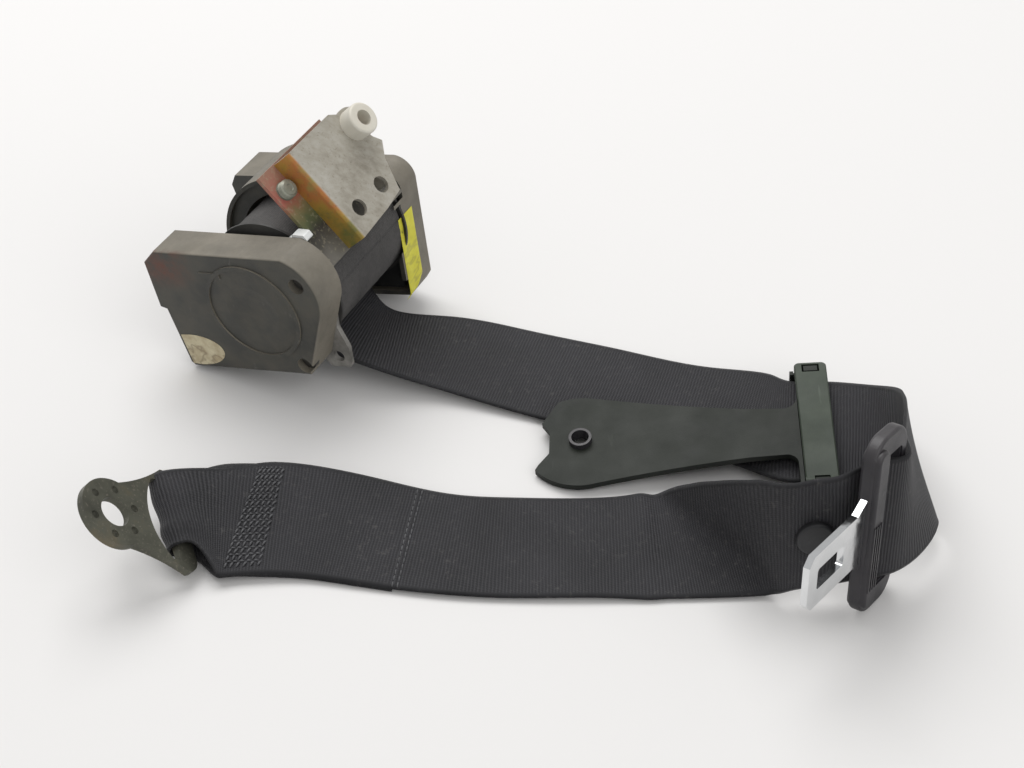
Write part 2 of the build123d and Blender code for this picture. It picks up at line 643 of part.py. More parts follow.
def bracket_screw():
    base = (Align.CENTER, Align.CENTER, Align.MIN)
    head = Cylinder(STUB_HEAD_RADIUS, STUB_HEAD, align=base)
    head = fillet(head.edges().sort_by(Axis.Z)[-1], 0.6)
    head += Pos(0, 0, -SHEET + 0.1) * Cylinder(STUB_RADIUS - SLIDING_GAP, SHEET, align=base)
    return Pos(STUB_PLACE[0], STUB_PLACE[1], WEB_INNER + SHEET) * head


def rear_cover_notched():
    notch = Box(WEB_NECK + 4.0, REAR_RIM + PLATE + 1.0, 12.0, align=(Align.CENTER, Align.MIN, Align.CENTER))
    cut = Pos(AXIS_X, 0, AXIS_Z) * Rot(0, 90 - BRACKET_ANGLE, 0)
    return rear_cover() - cut * Pos(-1.0, REAR_COVER_FRONT - 0.6, WEB_INNER) * notch


def arm_side(side, flare):
    shoulder = (4.0 - GUIDE_REACH, side * (HUB_RADIUS - 0.4))
    swell = (ARM_SWELL[0], side * ARM_SWELL[1])
    waist = (ARM_WAIST[0], side * ARM_WAIST[1])
    return [ThreePointArc(shoulder, swell, waist), Line(waist, flare[0]), ThreePointArc(*flare)]


def guide_outline():
    end = (ARM_END, -ARM_SHIFT - GUIDE_SLOT / 2 - GUIDE_WALL)
    corner = (NEAR_FLARE[2][0], end[1])
    far = arm_side(1, FAR_FLARE)
    near = arm_side(-1, NEAR_FLARE)
    edges = far + near + [Line(far[0] @ 0, near[0] @ 0), Line(near[2] @ 1, corner), Line(corner, end),
                          Line(end, far[2] @ 1)]
    outline = make_face(edges) + Pos(-GUIDE_REACH, 0) * Circle(HUB_RADIUS)
    outline -= Pos(-GUIDE_REACH, 0) * make_face(Polyline(*HUB_BITE, close=True))
    return Pos(0, ARM_SHIFT) * outline


def guide_arm():
    hub = Pos(-GUIDE_REACH, ARM_SHIFT) * Circle(HUB_BOSS_RADIUS + SLIDING_GAP)
    body = Pos(0, 0, GUIDE_SLOT_HALF) * extrude(guide_outline() - hub, amount=GUIDE_SHEET)
    low = -GUIDE_SLOT_HALF - GUIDE_BAR
    base = (Align.MIN, Align.CENTER, Align.MIN)
    wall_middle = (GUIDE_SLOT + GUIDE_WALL) / 2
    post = Box(ARM_END - WALL_START, GUIDE_WALL, GUIDE_SLOT_HALF - low + 1.0, align=base)
    near_wall = Box(NEAR_WALL_END - ARM_END + 1.0, GUIDE_WALL, GUIDE_SLOT_HALF - GATE_LIFT - low, align=base)
    far_wall = Box(WALL_END - ARM_END + 1.0, GUIDE_WALL, GUIDE_SLOT_HALF - low, align=base)
    body += Pos(WALL_START, wall_middle, low) * post
    body += Pos(WALL_START, -wall_middle, low) * post
    body += Pos(ARM_END - 1.0, -wall_middle, low) * near_wall
    body += Pos(ARM_END - 1.0, wall_middle, low) * far_wall
    bar = Box(WALL_END - WALL_START - 1.0, GUIDE_SLOT + 1.0, GUIDE_BAR, align=base)
    body += Pos(WALL_START + 0.5, 0, low) * bar
    ledge = Box(LOOP_LENGTH - 2.0, LATCH_REACH, LEDGE_THICK, align=(Align.MIN, Align.MIN, Align.MAX))
    body += Pos(GATE_LEFT + 1.0, GUIDE_SLOT / 2 + 0.6, GUIDE_SLOT_HALF) * ledge
    tooth = Box(LATCH_LENGTH - 2 * TOOTH_GAP, LATCH_WIDTH - 2 * TOOTH_GAP, GATE_THICK + GATE_LIFT,
                align=(Align.CENTER, Align.CENTER, Align.MIN))
    body += Pos(GATE_LEFT + LOOP_LENGTH / 2, LATCH_Y, GUIDE_SLOT_HALF - 0.2) * tooth
    knuckle = Pos(0, PIN_Y, PIN_Z) * Rot(0, 90, 0) * Cylinder(KNUCKLE_RADIUS - 0.2, KNUCKLE_WIDTH)
    stalk = Box(KNUCKLE_WIDTH, GUIDE_WALL, PIN_Z - GUIDE_SLOT_HALF + STALK_ROOT,
                align=(Align.CENTER, Align.CENTER, Align.MIN))
    knuckle += Pos(0, PIN_Y, GUIDE_SLOT_HALF - STALK_ROOT) * stalk
    knuckle -= Pos(0, PIN_Y, PIN_Z) * Rot(0, 90, 0) * Cylinder(GATE_PIN_RADIUS + SLIDING_GAP, LOOP_LENGTH)
    return body + Pos(GATE_LEFT + LOOP_LENGTH / 2, 0, 0) * knuckle


def guide_gate():
    middle = GATE_LEFT + LOOP_LENGTH / 2
    far = LATCH_Y + LATCH_WIDTH / 2 + LATCH_MARGIN
    outline = Pos(middle, (PIN_Y + far) / 2) * Rectangle(LOOP_LENGTH, far - PIN_Y)
    outline = fillet(outline.vertices().group_by(Axis.Y)[-1], GATE_CORNER)
    outline -= Pos(middle, LATCH_Y) * Rectangle(LATCH_LENGTH, LATCH_WIDTH)
    body = Pos(0, 0, GUIDE_SLOT_HALF + GATE_LIFT) * extrude(outline, amount=GATE_THICK)
    body = chamfer(body.faces().sort_by(Axis.Z)[-1].outer_wire().edges(), 0.5)
    barrel = Pos(middle, PIN_Y, PIN_Z) * Rot(0, 90, 0)
    body += barrel * Cylinder(KNUCKLE_RADIUS, LOOP_LENGTH)
    notch = Box(KNUCKLE_WIDTH + 2 * RUNNING_GAP, 2 * KNUCKLE_RADIUS + 2 * RUNNING_GAP, 4 * GATE_THICK)
    body -= Pos(middle, PIN_Y, PIN_Z) * notch
    return body - barrel * Cylinder(GATE_PIN_RADIUS + SLIDING_GAP, 2 * LOOP_LENGTH)


def gate_pin():
    barrel = Pos(GATE_LEFT + LOOP_LENGTH / 2, PIN_Y, PIN_Z) * Rot(0, 90, 0)
    return barrel * Cylinder(GATE_PIN_RADIUS, LOOP_LENGTH - 0.6)


def hub_bush():
    base = (Align.CENTER, Align.CENTER, Align.MIN)
    body = Cylinder(HUB_BOSS_RADIUS, GUIDE_SHEET + HUB_BOSS, align=base)
    body -= Cylinder(HUB_BORE, 4 * GUIDE_SHEET)
    return Pos(-GUIDE_REACH, ARM_SHIFT, GUIDE_SLOT_HALF) * body


def tongue_plate():
    slot = TONGUE_SLOT_WIDTH / 2
    root = slot + TONGUE_GRIP
    tip = root + BLADE_LENGTH
    half = BLADE_WIDTH / 2
    low = -slot - TONGUE_BAR + PLATE_EDGE
    high = root - PLATE_EDGE
    base = Pos((low + high) / 2, 0) * RectangleRounded(high - low, TONGUE_LENGTH - PLATE_SHORT, PLATE_CORNERS)
    start = high - 1.0
    upper = [(start, BLADE_ROOT / 2), (root, BLADE_ROOT / 2), (root + BLADE_SHOULDER, half),
             (tip - BLADE_CORNER, half), (tip, half - BLADE_CORNER)]
    lower = [(x, -y) for x, y in reversed(upper)]
    blade = Polyline(*upper, *lower, close=True)
    window = Pos(tip - WINDOW_END - WINDOW_LENGTH / 2, 0) * RectangleRounded(
        WINDOW_LENGTH, WINDOW_WIDTH, 1.2)
    opening = RectangleRounded(TONGUE_SLOT_WIDTH + PLATE_CLEAR, TONGUE_SLOT + PLATE_CLEAR, 2.0)
    outline = base + make_face(blade) - window - opening
    body = Pos(0, 0, -BLADE_THICK / 2) * extrude(outline, amount=BLADE_THICK)
    return body


def tongue_grip():
    slot = TONGUE_SLOT_WIDTH / 2
    left = -slot - TONGUE_BAR
    right = slot + TONGUE_GRIP
    outline = Pos((left + right) / 2, 0) * RectangleRounded(right - left, TONGUE_LENGTH, GRIP_CORNER)
    body = Pos(0, 0, -GRIP_THICK / 2) * extrude(outline, amount=GRIP_THICK)
    body = fillet(body.faces().sort_by(Axis.Z)[-1].edges(), GRIP_EDGE)
    body = fillet(body.faces().sort_by(Axis.Z)[0].edges(), GRIP_EDGE)
    swell = Pos(slot + TONGUE_GRIP / 2 + 0.4, 0) * RectangleRounded(TONGUE_GRIP - 1.8, TONGUE_LENGTH - 7.0, 3.6)
    rise = GRIP_THICK + GRIP_BULGE + GRIP_BACK
    raised = Pos(0, 0, -GRIP_THICK / 2 - GRIP_BULGE) * extrude(swell, amount=rise)
    raised = fillet(raised.faces().sort_by(Axis.Z)[-1].edges(), 0.7)
    raised = fillet(raised.faces().sort_by(Axis.Z)[0].edges(), 1.2)
    body += raised
    for rib in range(GRIP_RIBS):
        place = Pos(slot + 3.4 + rib * GRIP_RIB_PITCH, -10.0, -GRIP_THICK / 2 - GRIP_BULGE)
        body += place * Box(*GRIP_RIB)
    body -= extrude(RectangleRounded(TONGUE_SLOT_WIDTH, TONGUE_SLOT, 1.2), amount=3 * GRIP_THICK, both=True)
    lip = RectangleRounded(TONGUE_SLOT_WIDTH + 1.2, TONGUE_SLOT + 1.2, 1.8)
    for side in (1, -1):
        body -= Pos(0, 0, side * (GRIP_THICK / 2 - 0.6)) * extrude(lip, amount=side * GRIP_THICK)
    return body - tongue_plate()


def anchor_plate():
    reach = (Vector(*ANCHOR_EYE) - Vector(*ANCHOR_PLACE)).length
    half = ANCHOR_HEAD / 2
    bar = ANCHOR_BAR / 2
    corner = ANCHOR_CORNER
    joint = (reach - 0.38 * ANCHOR_EYE_RADIUS, 0.925 * ANCHOR_EYE_RADIUS)
    waist = (reach * 0.52, half * 0.70)
    lower = [(x, -y) for x, y in (joint, waist)]
    edges = [
        Line((-bar, -half + corner), (-bar, half - corner)),
        ThreePointArc((-bar, half - corner), (-bar + 0.3 * corner, half - 0.3 * corner), (-bar + corner, half)),
        ThreePointArc((-bar + corner, half), waist, joint),
        Line(joint, lower[0]),
        ThreePointArc(lower[0], lower[1], (-bar + corner, -half)),
        ThreePointArc((-bar + corner, -half), (-bar + 0.3 * corner, -half + 0.3 * corner), (-bar, -half + corner)),
    ]
    outline = make_face(edges) + Pos(reach, 0) * Circle(ANCHOR_EYE_RADIUS)
    outline -= Pos(reach, 0) * Circle(ANCHOR_BORE)
    for hole in range(ANCHOR_RING_COUNT):
        turn = radians(360 / ANCHOR_RING_COUNT * hole + 14)
        outline -= Pos(reach + ANCHOR_RING * cos(turn), ANCHOR_RING * sin(turn)) * Circle(ANCHOR_RING_HOLE)
    slot_half = ANCHOR_SLOT_LENGTH / 2
    far = bar + ANCHOR_SLOT_WIDTH
    crescent = [
        Line((bar, -slot_half), (bar, slot_half)),
        Line((bar, slot_half), (bar + 3.5, slot_half)),
        ThreePointArc((bar + 3.5, slot_half), (far, 0), (bar + 3.5, -slot_half)),
        Line((bar + 3.5, -slot_half), (bar, -slot_half)),
    ]
    outline -= make_face(crescent)
    body = Pos(0, 0, -ANCHOR_THICK / 2) * extrude(outline, amount=ANCHOR_THICK)
    return body


def ribbon_frame(centre, lean, ahead):
    across = unit(lean)
    run = Vector(*ahead)
    run = run - across * run.dot(across)
    return Plane(origin=centre, x_dir=across, z_dir=run)


def guide_station(step):
    plane = Plane(place_guide(Rot(-STRAP_ROLL, 0, 0)))
    skew = radians(GUIDE_SKEW)
    run = plane.x_dir * cos(skew) + plane.y_dir * sin(skew)
    across = plane.y_dir * cos(skew) - plane.x_dir * sin(skew)
    return (tuple(plane.origin + run * step + across * STRAP_SHIFT), tuple(across))


def tongue_run():
    plane = tongue_plane()
    turn = radians(TONGUE_CROSSING)
    return plane.x_dir * cos(turn) + plane.z_dir * sin(turn)


def tongue_station(step):
    plane = tongue_plane()
    middle = plane.origin + tongue_run() * step - plane.y_dir * TONGUE_DROP
    return (tuple(middle), tuple(plane.y_dir))


def button_station(step):
    return (tuple(Vector(*BUTTON_PLACE) + unit(BUTTON_RUN) * step), BUTTON_LEAN)


def roll_exit(step):
    middle = place_retractor(Pos(AXIS_X, ROLL_MIDDLE, AXIS_Z) * Sphere(1)).center()
    down = ROLL_RADIUS + RUNNING_GAP + WEB_THICK / 2
    heading = radians(SPOOL_HEADING)
    along = Vector(cos(heading), -sin(heading), 0)
    across = (sin(heading), cos(heading), 0)
    return (tuple(middle - Vector(0, 0, down) + along * step), across)


def stations():
    route = [roll_exit(0.0), roll_exit(4.0)]
    route += RUN_OUT
    route += [guide_station(-9.0), guide_station(0.0), guide_station(9.0)]
    route += RUN_TURN
    route += [tongue_station(-SLOT_STRAIGHT), tongue_station(0.0), tongue_station(SLOT_STRAIGHT)]
    route += [button_station(-BUTTON_STRAIGHT), button_station(0.0), button_station(BUTTON_STRAIGHT)]
    return route + list(RUN_BACK + RUN_DOUBLED)


def ribbon(route, width, thick):
    sections = []
    last = len(route) - 1
    for index, (centre, lean) in enumerate(route):
        before = Vector(*route[max(index - 1, 0)][0])
        after = Vector(*route[min(index + 1, last)][0])
        plane = ribbon_frame(centre, lean, after - before)
        sections.append(plane * Rectangle(width, thick))
    return loft(sections)


def button_plane():
    return ribbon_frame(BUTTON_PLACE, BUTTON_LEAN, BUTTON_RUN)


def through_strap(radius, low, high):
    plane = button_plane()
    face = Plane(origin=plane.origin + plane.y_dir * low, x_dir=plane.x_dir, z_dir=plane.y_dir)
    return extrude(face * Circle(radius), amount=high - low)


def stop_button():
    half = WEB_THICK / 2
    reach = half + BUTTON_HEIGHT
    body = through_strap(BUTTON_RIVET, -reach + 0.5, reach - 0.5)
    for low, high, edge in ((half, reach, -1), (-reach, -half, 0)):
        cap = through_strap(BUTTON_RADIUS, low, high)
        rim = cap.faces().sort_by(Axis(button_plane().origin, button_plane().y_dir))[edge].edges()
        body += fillet(rim, 1.0)
    return body - webbing()


def webbing():
    strap = ribbon(stations(), WEB_WIDTH, WEB_THICK)
    return strap - through_strap(BUTTON_RIVET + SLIDING_GAP, -WEB_THICK, WEB_THICK)


def fold_route():
    shifted = []
    last = len(RUN_DOUBLED) - 1
    for index, (centre, lean) in enumerate(RUN_DOUBLED):
        before = Vector(*RUN_DOUBLED[max(index - 1, 0)][0])
        after = Vector(*RUN_DOUBLED[min(index + 1, last)][0])
        plane = ribbon_frame(centre, lean, after - before)
        down = plane.y_dir if plane.y_dir.Z < 0 else -plane.y_dir
        shifted.append((tuple(Vector(*centre) + down * (WEB_THICK + LAYER_GAP)), lean))
    return shifted


def anchor_fold():
    under = ribbon(fold_route(), WEB_WIDTH - 1.0, WEB_THICK)
    plane = anchor_plane()
    inner = hypot(ANCHOR_BAR, ANCHOR_THICK) / 2 + LOOP_GAP
    across = plane.y_dir if plane.y_dir.Y > 0 else -plane.y_dir
    tube_plane = Plane(origin=plane.origin - across * (LOOP_WIDTH / 2), x_dir=plane.x_dir, z_dir=across)
    tube = extrude(tube_plane * (Circle(inner + LOOP_WALL) - Circle(inner)), amount=LOOP_WIDTH)
    end, lean = RUN_DOUBLED[-1]
    ahead = Vector(*ANCHOR_PLACE) - Vector(*end)
    run = Vector(*end) - Vector(*RUN_DOUBLED[-2][0])
    wide = ribbon_frame(end, lean, run)
    wide.origin += wide.y_dir * (-WEB_THICK / 2 if wide.y_dir.Z > 0 else WEB_THICK / 2)
    stop = Vector(*ANCHOR_PLACE) - ahead.normalized() * (inner + LOOP_WALL / 2)
    narrow = ribbon_frame(tuple(stop), tuple(across), ahead)
    middle = (Vector(*end) * 0.35 + stop * 0.65)
    waist = ribbon_frame(tuple(middle), tuple(across * 0.65 + unit(lean) * 0.35), ahead)
    gather = loft([wide * Rectangle(WEB_WIDTH, FOLD_THICK), waist * Rectangle(WEB_WIDTH - 4.0, FOLD_THICK),
                   narrow * Rectangle(LOOP_WIDTH, LOOP_WALL * 2)], ruled=True)
    gather -= extrude(tube_plane * Circle(inner), amount=LOOP_WIDTH)
    return under + tube + gather


def cream_label():
    return slab(make_face(Polyline(*LABEL_CORNERS, close=True)), -LABEL_THICK, 0)


def yellow_label():
    low = Vector(64.0, -7.2)
    high = Vector(73.0, 37.5)
    along = (high - low).normalized()
    out = Vector(along.Y, -along.X)
    middle = low + along * 26.0 + out * (LABEL_THICK / 2)
    tilt = degrees(atan2(along.Y, along.X))
    label = Pos(middle.X, middle.Y) * Rot(0, 0, tilt) * Rectangle(26.0, LABEL_THICK)
    return slab(label, REAR_PLATE_FRONT + RUNNING_GAP, REAR_COVER_BACK - 2.6)


def build():
    nodes = {}
    nodes["front_cover"] = place_retractor(front_cover())
    nodes["rear_cover"] = place_retractor(rear_cover_notched())
    nodes["retractor_frame"] = frame()
    nodes["spool_shroud"] = place_retractor(spool_shroud())
    nodes["spool"] = place_retractor(spool())
    nodes["webbing_roll"] = place_retractor(webbing_roll())
    nodes["torsion_shaft"] = place_retractor(torsion_shaft())
    nodes["front_bush"] = place_retractor(
        bush(FRONT_PLATE_FRONT, FRONT_PLATE_BACK, FRONT_PLATE_FRONT - BUSH_FLANGE))
    nodes["rear_bush"] = place_retractor(bush(REAR_PLATE_FRONT, REAR_PLATE_BACK, REAR_PLATE_BACK))
    nodes["spring_arbor"] = place_retractor(spring_arbor())
    nodes["return_spring"] = place_retractor(return_spring())
    nodes["lock_wheel"] = place_retractor(lock_wheel())
    nodes["lock_pawl"] = place_retractor(lock_pawl())
    nodes["pawl_pin"] = place_retractor(pawl_pin())
    nodes["sensor_housing"] = place_retractor(sensor_housing())
    nodes["sensor_ball"] = place_retractor(sensor_ball())
    nodes["sensor_lever"] = place_retractor(sensor_lever())
    screws = [cover_screw(x, z) for x, z in SCREW_PLACES]
    nodes["cover_screws"] = place_retractor(Compound(children=screws))
    nodes["frame_clip"] = place_retractor(frame_clip())
    nodes["bracket_plate"] = place_bracket(bracket_plate())
    nodes["mount_bush"] = place_bracket(mount_bush())
    nodes["bracket_screw"] = place_bracket(bracket_screw())
    nodes["guide_arm"] = place_guide(guide_arm())
    nodes["guide_gate"] = place_guide(guide_gate())
    nodes["hub_bush"] = place_guide(hub_bush())
    nodes["tongue_plate"] = place_tongue(tongue_plate())
    nodes["tongue_grip"] = place_tongue(tongue_grip())
    nodes["anchor_plate"] = place_anchor(anchor_plate())
    nodes["gate_pin"] = place_guide(gate_pin())
    nodes["webbing"] = webbing()
    nodes["anchor_fold"] = anchor_fold()
    nodes["stop_button"] = stop_button()
    nodes["cream_label"] = place_retractor(cream_label())
    nodes["yellow_label"] = place_retractor(yellow_label())
    return nodes


def shift_of(nodes):
    box = Compound(children=[copy(shape) for shape in nodes.values()]).bounding_box()
    return Vector(-(box.min.X + box.max.X) / 2, -(box.min.Y + box.max.Y) / 2, -box.min.Z)


os.makedirs("parts", exist_ok=True)
nodes = build()
shift = shift_of(nodes)
for node, shape in nodes.items():
    export_step(Pos(*shift) * shape, "parts/" + node + ".step")
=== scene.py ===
import bpy
import math
import random
import numpy as np
from mathutils import Matrix, Vector


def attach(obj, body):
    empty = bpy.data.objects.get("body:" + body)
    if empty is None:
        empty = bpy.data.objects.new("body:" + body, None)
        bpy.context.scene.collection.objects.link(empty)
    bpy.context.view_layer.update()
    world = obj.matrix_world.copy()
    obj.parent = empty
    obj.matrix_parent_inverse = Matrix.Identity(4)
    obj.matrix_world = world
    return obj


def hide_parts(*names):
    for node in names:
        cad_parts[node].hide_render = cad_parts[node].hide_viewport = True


# Seat belt lying on a pale table. Lengths in the lists are mm, as in the part; objects are in metres.
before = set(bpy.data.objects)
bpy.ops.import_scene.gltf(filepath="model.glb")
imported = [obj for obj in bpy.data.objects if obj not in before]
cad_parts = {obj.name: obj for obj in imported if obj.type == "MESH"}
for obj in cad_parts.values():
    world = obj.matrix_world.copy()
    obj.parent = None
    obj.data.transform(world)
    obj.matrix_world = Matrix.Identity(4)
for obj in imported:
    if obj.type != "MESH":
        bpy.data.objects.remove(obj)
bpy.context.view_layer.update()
random.seed(7)

MM = 0.001
SHIFT = Vector((-2.56, 26.0239, 0.6508))

# The strap, and the turns of it still wound on the spool.
WEB_WIDTH = 48.0
WEB_THICK = 1.2
SELVEDGE = 2.4
SELVEDGE_RISE = 0.10
SELVEDGE_ROUND = 0.5
STEP_ALONG = 0.8
STEPS_ACROSS = 34
UV_SIZE = 100.0
UV_START = 30.0
WAVE = 0.18
TABLE_GAP = 0.15
AXIS_X = 44.0
AXIS_Z = 28.5
ROLL_RADIUS = 27.0
DRUM_RADIUS = 14.0
DRUM_GAP = 0.1
TURN_PITCH = 1.3
TURN_SECTION = ((0.02, 0.55), (0.22, 0.1), (0.5, 0.0), (0.78, 0.1), (0.98, 0.55))
RIM_WAVE = 0.12
ROLL_FRONT = 18.6
ROLL_BACK = 66.6
ROLL_MIDDLE = (ROLL_FRONT + ROLL_BACK) / 2
SPOOL_HEADING = 27.0
RUNNING_GAP = 0.3

# Stitching: a box near the anchor, and a double seam where the doubled end stops.
BOX_STITCH_X = -91.0
BOX_COLUMNS = 6
BOX_ROWS = 15
BOX_WIDTH = 42.0
BOX_HALF = 6.4
BOX_TAPER = 2.6
BOX_SHIFT = 4.0
BOX_SLANT = 7.0
BOX_THREAD = 0.4
SEAM_X = -37.5
SEAM_WIDTH = 46.4
SEAM_STITCHES = 17
SEAM_HALF_GAP = 0.9
SEAM_THREAD = 0.3
SEAM_PART = 0.8
LONG_LIFT = 0.1
CROSS_LIFT = -0.05
CROSS_INSET = 0.1
CROSS_SHORT = 0.3
LOWER_RUN_Y = -70.0
LOWER_RUN_X = 80.0
TOP_LAYER_PART = 0.75

# Threaded end of the bracket's screw.
STUB_PLACE = (-26.0, 25.6)
STUB_FOOT = 30.8
STUB_TOP = 34.4
STUB_RADIUS = 3.6
STUB_ROOT = 3.05
STUB_PITCH = 0.72
STUB_WASHER = STUB_RADIUS + 0.2
STUB_WASHER_TOP = STUB_FOOT + 0.25
STUB_THREAD_FROM = STUB_FOOT + 0.3
STUB_RIM = STUB_ROOT - 0.3
STUB_DIMPLE = 1.5
STUB_DIMPLE_FLOOR = 1.2
STUB_DIMPLE_DEEP = STUB_TOP - 0.4


def turn(axis, degrees):
    return Matrix.Rotation(math.radians(degrees), 4, axis)


RETRACTOR = Matrix.Translation((-126.5, 10.5, 0.0)) @ turn("Z", -SPOOL_HEADING) @ turn("Y", -18.0)
BRACKET = RETRACTOR @ Matrix.Translation((AXIS_X, 0.0, AXIS_Z)) @ turn("Y", 61.0)
GUIDE = Matrix.Translation((112.3, -36.6, 9.4)) @ turn("Z", -2.0) @ turn("Y", -5.8) @ turn("X", 5.0)
GUIDE_STRAP = GUIDE @ turn("X", 2.6)
GUIDE_SKEW = -5.5
GUIDE_STRAIGHT = 9.0
ROLL_STRAIGHT = 4.0
STRAP_SHIFT = 0.6
TONGUE_PLACE = Vector((124.8, -100.9, 33.4))
TONGUE_LEAN = 76.0
TONGUE_SWING = 53.0
TONGUE_CROSSING = 37.0
TONGUE_DROP = 1.5
SLOT_STRAIGHT = 6.0
BUTTON_PLACE = Vector((102.2, -106.4, 29.6))
BUTTON_RUN = Vector((-0.985, -0.08, -0.15)).normalized()
BUTTON_LEAN = Vector((-0.08, 0.13, 0.99)).normalized()
BUTTON_STRAIGHT = 8.4
ANCHOR_PLACE = Vector((-119.5, -83.0, 10.3))
ANCHOR_EYE = Vector((-136.9, -95.5, 28.3))
ANCHOR_REACH = ANCHOR_EYE - ANCHOR_PLACE
ANCHOR_NORMAL = Vector((0.68, 0.02, 0.72))
ANCHOR_NORMAL -= ANCHOR_REACH * (ANCHOR_NORMAL.dot(ANCHOR_REACH) / ANCHOR_REACH.length_squared)
ANCHOR_NORMAL.normalize()
ANCHOR_ACROSS = ANCHOR_NORMAL.cross(ANCHOR_REACH).normalized()

# The turn round the anchor's bar, where the strap is gathered and pleated, and its doubled end.
LOOP_RADIUS = 5.0
LOOP_ANGLES = (82, 118, 154, 190, 226, 262)
UNDER_DROP = 1.55
NEAR_SQUEEZE = 0.46
FAR_SQUEEZE = 0.79
NEAR_EASE = 1.0
FAR_EASE = 16.0
END_EASE = 2.0
PLEAT = 0.35

RUN_OUT = (
    ((-64.5, 26.6, 9.6), (0.34, 0.94, -0.14)),
    ((-50.0, 19.4, 6.2), (0.10, 0.97, -0.20)),
    ((-28.0, 15.6, 3.4), (0.18, 0.97, -0.10)),
    ((0.0, 7.6, 1.8), (0.28, 0.96, -0.03)),
    ((35.0, -4.4, 1.8), (0.32, 0.94, 0.01)),
    ((72.0, -17.5, 3.0), (0.30, 0.95, 0.03)),
    ((94.0, -27.6, 6.4), (0.26, 0.95, 0.12)),
)
RUN_TURN = (
    ((133.5, -43.5, 11.6), (0.14, 0.94, 0.30)),
    ((141.5, -58.0, 18.5), (-0.02, 0.70, 0.71)),
    ((144.0, -72.0, 26.6), (-0.33, 0.24, 0.91)),
    ((140.8, -84.0, 29.6), (-0.32, 0.18, 0.93)),
)
RUN_BACK = (
    ((83.5, -103.4, 23.4), (-0.17, 0.38, 0.91)),
    ((74.5, -98.0, 18.0), (-0.17, 0.66, 0.73)),
    ((66.0, -92.5, 11.6), (-0.12, 0.88, 0.46)),
    ((57.0, -88.6, 6.0), (-0.06, 0.97, 0.22)),
    ((45.0, -86.8, 2.4), (0.0, 1.0, 0.06)),
    ((33.0, -86.4, 1.4), (0.02, 1.0, 0.0)),
    ((0.0, -86.3, 1.2), (0.03, 1.0, 0.0)),
    ((-24.0, -84.6, 1.5), (0.13, 0.99, 0.0)),
)
RUN_DOUBLED = (
    ((-38.0, -82.6, 2.2), (0.16, 0.98, 0.03)),
    ((-54.0, -79.9, 3.6), (0.17, 0.98, 0.08)),
    ((-70.0, -77.5, 5.0), (0.10, 0.98, 0.13)),
    ((-88.0, -77.3, 6.9), (0.02, 0.98, 0.17)),
    ((-104.0, -79.3, 8.6), (-0.06, 0.98, 0.20)),
)

# Between the button and the table the strap bends along its length, and the bend travels across it.
# Each entry: x, near edge y and z, where the bend is across the strap, then both slopes in degrees.
BEND_WIDTH = 15.0
BEND_FROM = 96.0
BEND_TO = 45.0
BEND_EASE = 9.0
BEND_SIDE = -80.0
TRAVELLING_BEND = (
    (96.0, -109.8, 4.9, -40.0, 12.0, 82.5),
    (90.0, -109.3, 2.6, -26.0, 12.0, 81.5),
    (83.5, -109.2, 1.2, -14.0, 10.0, 80.5),
    (74.5, -109.6, 0.9, -2.0, 7.0, 79.0),
    (66.0, -109.9, 0.8, 10.0, 4.0, 74.0),
    (57.0, -110.2, 0.8, 21.0, 2.0, 62.0),
    (46.0, -110.4, 0.8, 34.0, 1.0, 45.0),
)


def column(matrix, index):
    return Vector(matrix.col[index][:3])


def tongue_axes():
    lean = math.radians(TONGUE_LEAN)
    swing = math.radians(TONGUE_SWING)
    slot = Vector((0, math.cos(lean), math.sin(lean)))
    level = Vector((0, -math.sin(lean), math.cos(lean)))
    blade = Vector((-1, 0, 0)) * math.cos(swing) + level * math.sin(swing)
    return blade, slot, blade.cross(slot)


def tongue_run():
    blade, slot, out = tongue_axes()
    crossing = math.radians(TONGUE_CROSSING)
    return blade * math.cos(crossing) + out * math.sin(crossing)


def tongue_station(step):
    blade, slot, out = tongue_axes()
    return (TONGUE_PLACE + tongue_run() * step - slot * TONGUE_DROP, slot)


def button_station(step):
    return (BUTTON_PLACE + BUTTON_RUN * step, BUTTON_LEAN)


def guide_station(step):
    skew = math.radians(GUIDE_SKEW)
    x = column(GUIDE_STRAP, 0)
    y = column(GUIDE_STRAP, 1)
    run = x * math.cos(skew) + y * math.sin(skew)
    across = y * math.cos(skew) - x * math.sin(skew)
    return (Vector(GUIDE_STRAP.translation) + run * step + across * STRAP_SHIFT, across)


def roll_exit(step):
    middle = RETRACTOR @ Vector((AXIS_X, ROLL_MIDDLE, AXIS_Z))
    heading = math.radians(SPOOL_HEADING)
    along = Vector((math.cos(heading), -math.sin(heading), 0))
    across = Vector((math.sin(heading), math.cos(heading), 0))
    down = ROLL_RADIUS + RUNNING_GAP + WEB_THICK / 2
    return (middle - Vector((0, 0, down)) + along * step, across)


def strap_route():
    route = [roll_exit(0.0), roll_exit(ROLL_STRAIGHT)]
    route += [(Vector(c), Vector(a).normalized()) for c, a in RUN_OUT]
    route += [guide_station(-GUIDE_STRAIGHT), guide_station(0.0), guide_station(GUIDE_STRAIGHT)]
    route += [(Vector(c), Vector(a).normalized()) for c, a in RUN_TURN]
    route += [tongue_station(-SLOT_STRAIGHT), tongue_station(0.0), tongue_station(SLOT_STRAIGHT)]
    route += [button_station(-BUTTON_STRAIGHT), button_station(0.0), button_station(BUTTON_STRAIGHT)]
    route += [(Vector(c), Vector(a).normalized()) for c, a in RUN_BACK + RUN_DOUBLED]
    return route


